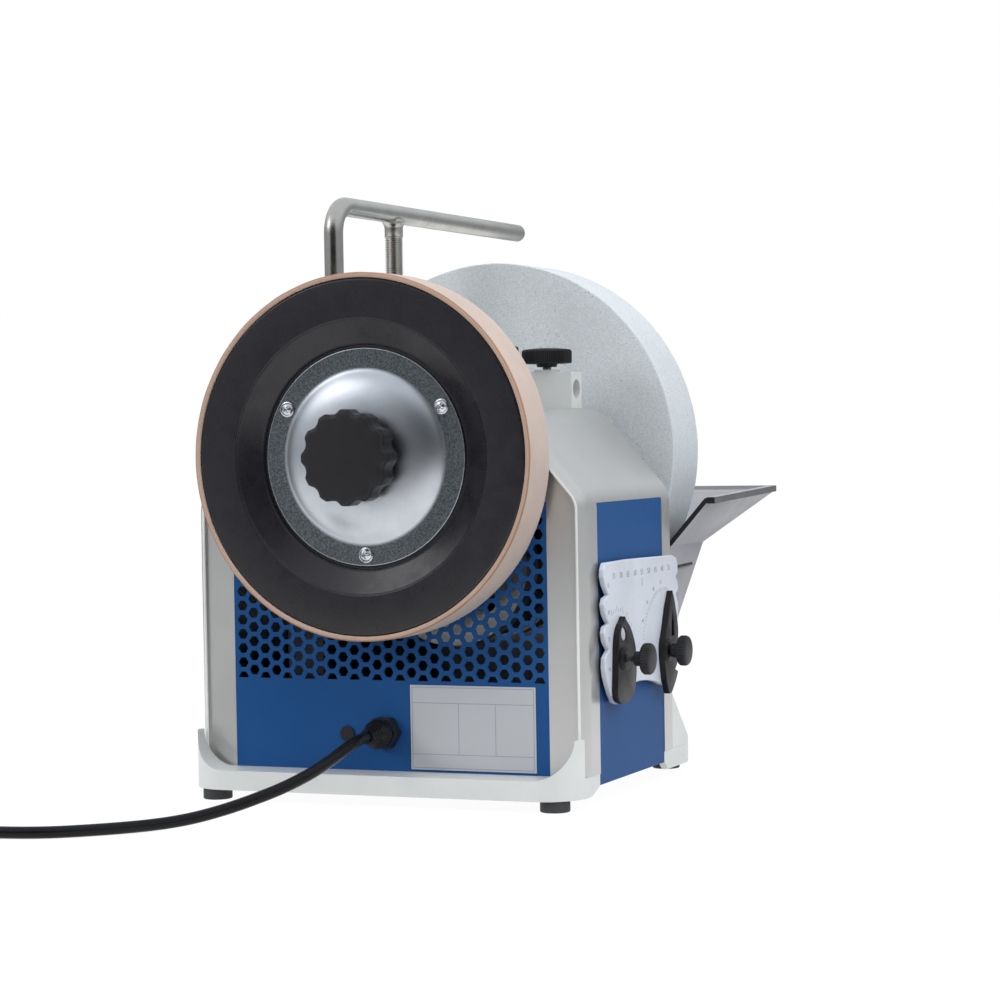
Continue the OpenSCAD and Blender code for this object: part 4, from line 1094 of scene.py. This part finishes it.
def make_pointer_details():
    """The raised seat round each gauge knob's screw, and the scale seen in the window."""
    seat = fillet([(2.6, 0), (7.6, 0), (6.4, 2.4), (2.6, 2.4)], [0, 0.6, 0.8, 0])
    for node, pivot in (("diameter_pointer", DIAMETER_PIVOT), ("angle_pointer", ANGLE_PIVOT)):
        place = along("+X", POINTER_X[1] - 0.3, *pivot)
        added_to(node, lathed(node + "_seat", [POINTER], 40, seat, place, 48))
    bm, x = bmesh.new(), POINTER_X[1] - 0.9
    bm.faces.new([bm.verts.new(at(x, y, z)) for y, z in curved(DIAMETER_WINDOW)])
    added_to("diameter_pointer", mesh_object("window_scale", bm, WHITE))
    bm = bmesh.new()
    strip(bm, (x + 0.05, 75.4, 97.8), (x + 0.05, 75.4, 102.4), 0.7, OUT)
    added_to("diameter_pointer", mesh_object("window_mark", bm, MARK))


def make_plate_rules():
    """Blank ruled fields on the plate: nothing is written in them."""
    bm, y = bmesh.new(), 36.6
    x0, x1, z0, z1 = 15.6, 94.7, 21.8, 70.4
    frame_lines = [(x0, z0, x1, z0), (x1, z0, x1, z1), (x1, z1, x0, z1), (x0, z1, x0, z0)]
    field_lines = [(x0, 61, x1, 61), (x0, 30, x1, 30), (46, 30, 46, 61), (70, 30, 70, 61)]
    for ax, az, bx, bz in frame_lines + field_lines:
        strip(bm, (ax, y, az), (bx, y, bz), 0.45, (0, -1, 0), 0.03)
    added_to("rating_plate", mesh_object("plate_rules", bm, MARK))


make_housing()
make_front_web()
make_hub()
make_tyre()
make_plate()
make_screws()
make_honing_knob()
make_grindstone()
# axis, x and z of each pair of lock knobs, and the length of their stems
LOCK_KNOBS = {"horizontal": ("+Z", 56, 266.5, 9.5), "vertical": ("-X", LEG_X - 19, 255, 12)}
for kind, (axis, x, z, stem) in LOCK_KNOBS.items():
    for end, y in zip(("near", "far"), SLEEVES_Y):
        make_lock_knob(f"lock_knob_{kind}_{end}", along(axis, x, y, z), stem)
make_thumb_knob("diameter_knob", DIAMETER_PIVOT, 15.7)
make_thumb_knob("angle_knob", ANGLE_PIVOT, 11.5)
make_support()
make_gauge_marks()
make_pointers()
make_pointer_details()
make_plate_rules()
# width and segments of the rounded edges
SOFTENED = {
    "base_frame": (1.1, 3), "rear_wall": (0.5, 2), "horizontal_sleeves": (0.9, 3),
    "vertical_sleeves": (0.8, 3), "side_panel_right": (0.35, 2), "side_panel_left": (0.35, 2),
    "rating_plate": (0.12, 1), "rubber_feet": (0.8, 2), "gland_body": (0.6, 2), "switch_body": (0.5, 2),
    "switch_rocker": (0.5, 2), "stone_flanges": (0.5, 2), "stone_nut": (0.7, 2), "adjusting_nut": (0.6, 2),
    "scraper": (0.6, 2), "angle_plate": (0.8, 3), "blanking_plug": (0.3, 2),
}
for name, (width, segments) in SOFTENED.items():
    softened(name, width, segments)

# ---------- trough ----------

NEAR_END_Z, NEAR_END_Y = 148, 204.2
LIP_X, LIP_AT, LIP_UP = 149.2, Vector((0, 203, 174.9)), Vector((0, -4.1, 135.5)).normalized()


def edge_trough(trough):
    """Paints shade on the trough: dark grey on its near end and mid grey on the outside of its right lip."""
    bm = bmesh.new()
    bm.from_mesh(trough.data)
    for point, normal in (((0, 0, NEAR_END_Z), (0, 0, 1)), (LIP_AT, LIP_UP), ((LIP_X, 0, 0), (1, 0, 0))):
        whole = bm.verts[:] + bm.edges[:] + bm.faces[:]
        bmesh.ops.bisect_plane(bm, geom=whole, plane_co=at(*point), plane_no=normal)
    for f in bm.faces:
        c = f.calc_center_median() / MM + DATUM
        if c.z > NEAR_END_Z and c.y < NEAR_END_Y:
            f.material_index = 1
        elif c.x > LIP_X and (c - LIP_AT).dot(LIP_UP) > 0 and f.normal.z < 0.9:
            f.material_index = 2
    bm.to_mesh(trough.data)
    bm.free()


def make_trough_rib():
    """A thin dark rib on the trough's outside: painted shade standing in for a slot there."""
    bm = bmesh.new()
    path = [(119.6, 227, 133.4), (120.3, 228, 133.5), (120.3, 257, 134.1), (119.6, 258, 134.1)]
    tube(bm, path, [0.4, 0.9, 0.9, 0.4], 10)
    added_to("water_trough", smooth(mesh_object("trough_slot_shade", bm, TROUGH_SHADE)))


edge_trough(softened("water_trough", 0.7, 2, TROUGH, TROUGH_SHADE, TROUGH_LIP_SHADE))
make_trough_rib()

# ---------- surroundings ----------

FLOOR_COLOUR = (0.55, 0.55, 0.55, 1.0)
FLOOR_WHITE, FLOOR_GLOW = 0.86, 1.1
FLOOR_REACH = 1.2
WORLD_COLOUR = (0.9, 0.95, 1.0, 1.0)
WORLD_LEVEL, HORIZON_LEVEL, DARK_LEVEL = 0.85, 0.4, 0.05
HORIZON_FADE = (0.05, 0.5)
DARK_SIDE, DARK_FADE = (0.3, -0.95, 0.0), (0.7, 0.92)


def make_floor():
    """A pale floor that shows white to the camera and in reflections, and keeps a faint shadow."""
    s = Shader("studio_floor")
    s.set(Base_Color=FLOOR_COLOUR, Roughness=0.9, Specular_IOR_Level=0.0)
    glow = s.add("Emission", {"Strength": FLOOR_GLOW}).outputs[0]
    rays = s.add("LightPath").outputs
    seen = s.math("MAXIMUM", rays["Is Camera Ray"], rays["Is Glossy Ray"])
    share = s.math("MULTIPLY", s.math("MAXIMUM", seen, rays["Is Transmission Ray"]), FLOOR_WHITE)
    mixed = s.add("MixShader", {0: share, 1: s.out.outputs[0], 2: glow}).outputs[0]
    s.put(s.tree.nodes["Material Output"].inputs["Surface"], mixed)
    bm = bmesh.new()
    for x, y in ((-1, -1), (1, -1), (1, 1), (-1, 1)):
        bm.verts.new((x * FLOOR_REACH, y * FLOOR_REACH, -0.0002))
    bm.faces.new(bm.verts[:])
    mesh_object("studio_floor", bm, s.mat)


def make_world():
    """A pale room, greyer at the horizon and dark on the side that the front of the machine faces."""
    world = bpy.data.worlds.new("studio")
    bpy.context.scene.world = world
    world.use_nodes = True
    n = Nodes(world.node_tree)
    way = n.add("TexCoord").outputs["Generated"]
    height = n.math("ABSOLUTE", n.add("SeparateXYZ", {0: way}).outputs["Z"])
    sides = {0: way, 1: Vector(DARK_SIDE).normalized()}
    towards = n.add("VectorMath", sides, operation="DOT_PRODUCT").outputs["Value"]
    level = n.math("MULTIPLY", n.spread(height, HORIZON_LEVEL, WORLD_LEVEL, *HORIZON_FADE, "SMOOTHSTEP"),
                   n.spread(towards, 1, DARK_LEVEL, *DARK_FADE, "SMOOTHSTEP"))
    back = n.tree.nodes["Background"]
    n.put(back.inputs["Color"], WORLD_COLOUR)
    n.put(back.inputs["Strength"], level)
    white = n.add("Background", {"Color": (1, 1, 1, 1)}).outputs[0]
    seen = n.add("LightPath").outputs["Is Camera Ray"]
    mixed = n.add("MixShader", {0: seen, 1: back.outputs[0], 2: white}).outputs[0]
    n.put(n.tree.nodes["World Output"].inputs["Surface"], mixed)


def make_lamp(name, place, aim, size, watts, shines):
    """A rectangular lamp that lights only glossy or only diffuse surfaces."""
    data = bpy.data.lights.new(name, "AREA")
    data.shape, data.size, data.size_y, data.energy = "RECTANGLE", *size, watts
    obj = bpy.data.objects.new(name, data)
    obj.location = at(*place)
    obj.rotation_euler = (at(*aim) - at(*place)).to_track_quat("-Z", "Y").to_euler()
    obj.visible_diffuse = shines == "diffuse"
    obj.visible_glossy = shines == "glossy"
    bpy.context.scene.collection.objects.link(obj)


make_floor()
make_world()
# name, place and aim in the machine frame (mm), size in metres, watts
make_lamp("sheen", (-1060, -922, 1120), (0, 50, 180), (0.95, 0.62), 3.4, shines="glossy")
make_lamp("key", (-1190, -1034, 807), (0, 50, 180), (0.6, 0.6), 11, shines="diffuse")
make_lamp("side", (1400, -620, 900), (80, 150, 170), (1.0, 1.0), 12, shines="diffuse")
make_lamp("top", (300, -100, 1750), (30, 150, 150), (1.5, 1.5), 16, shines="diffuse")
bpy.context.scene.view_settings.view_transform = "Standard"
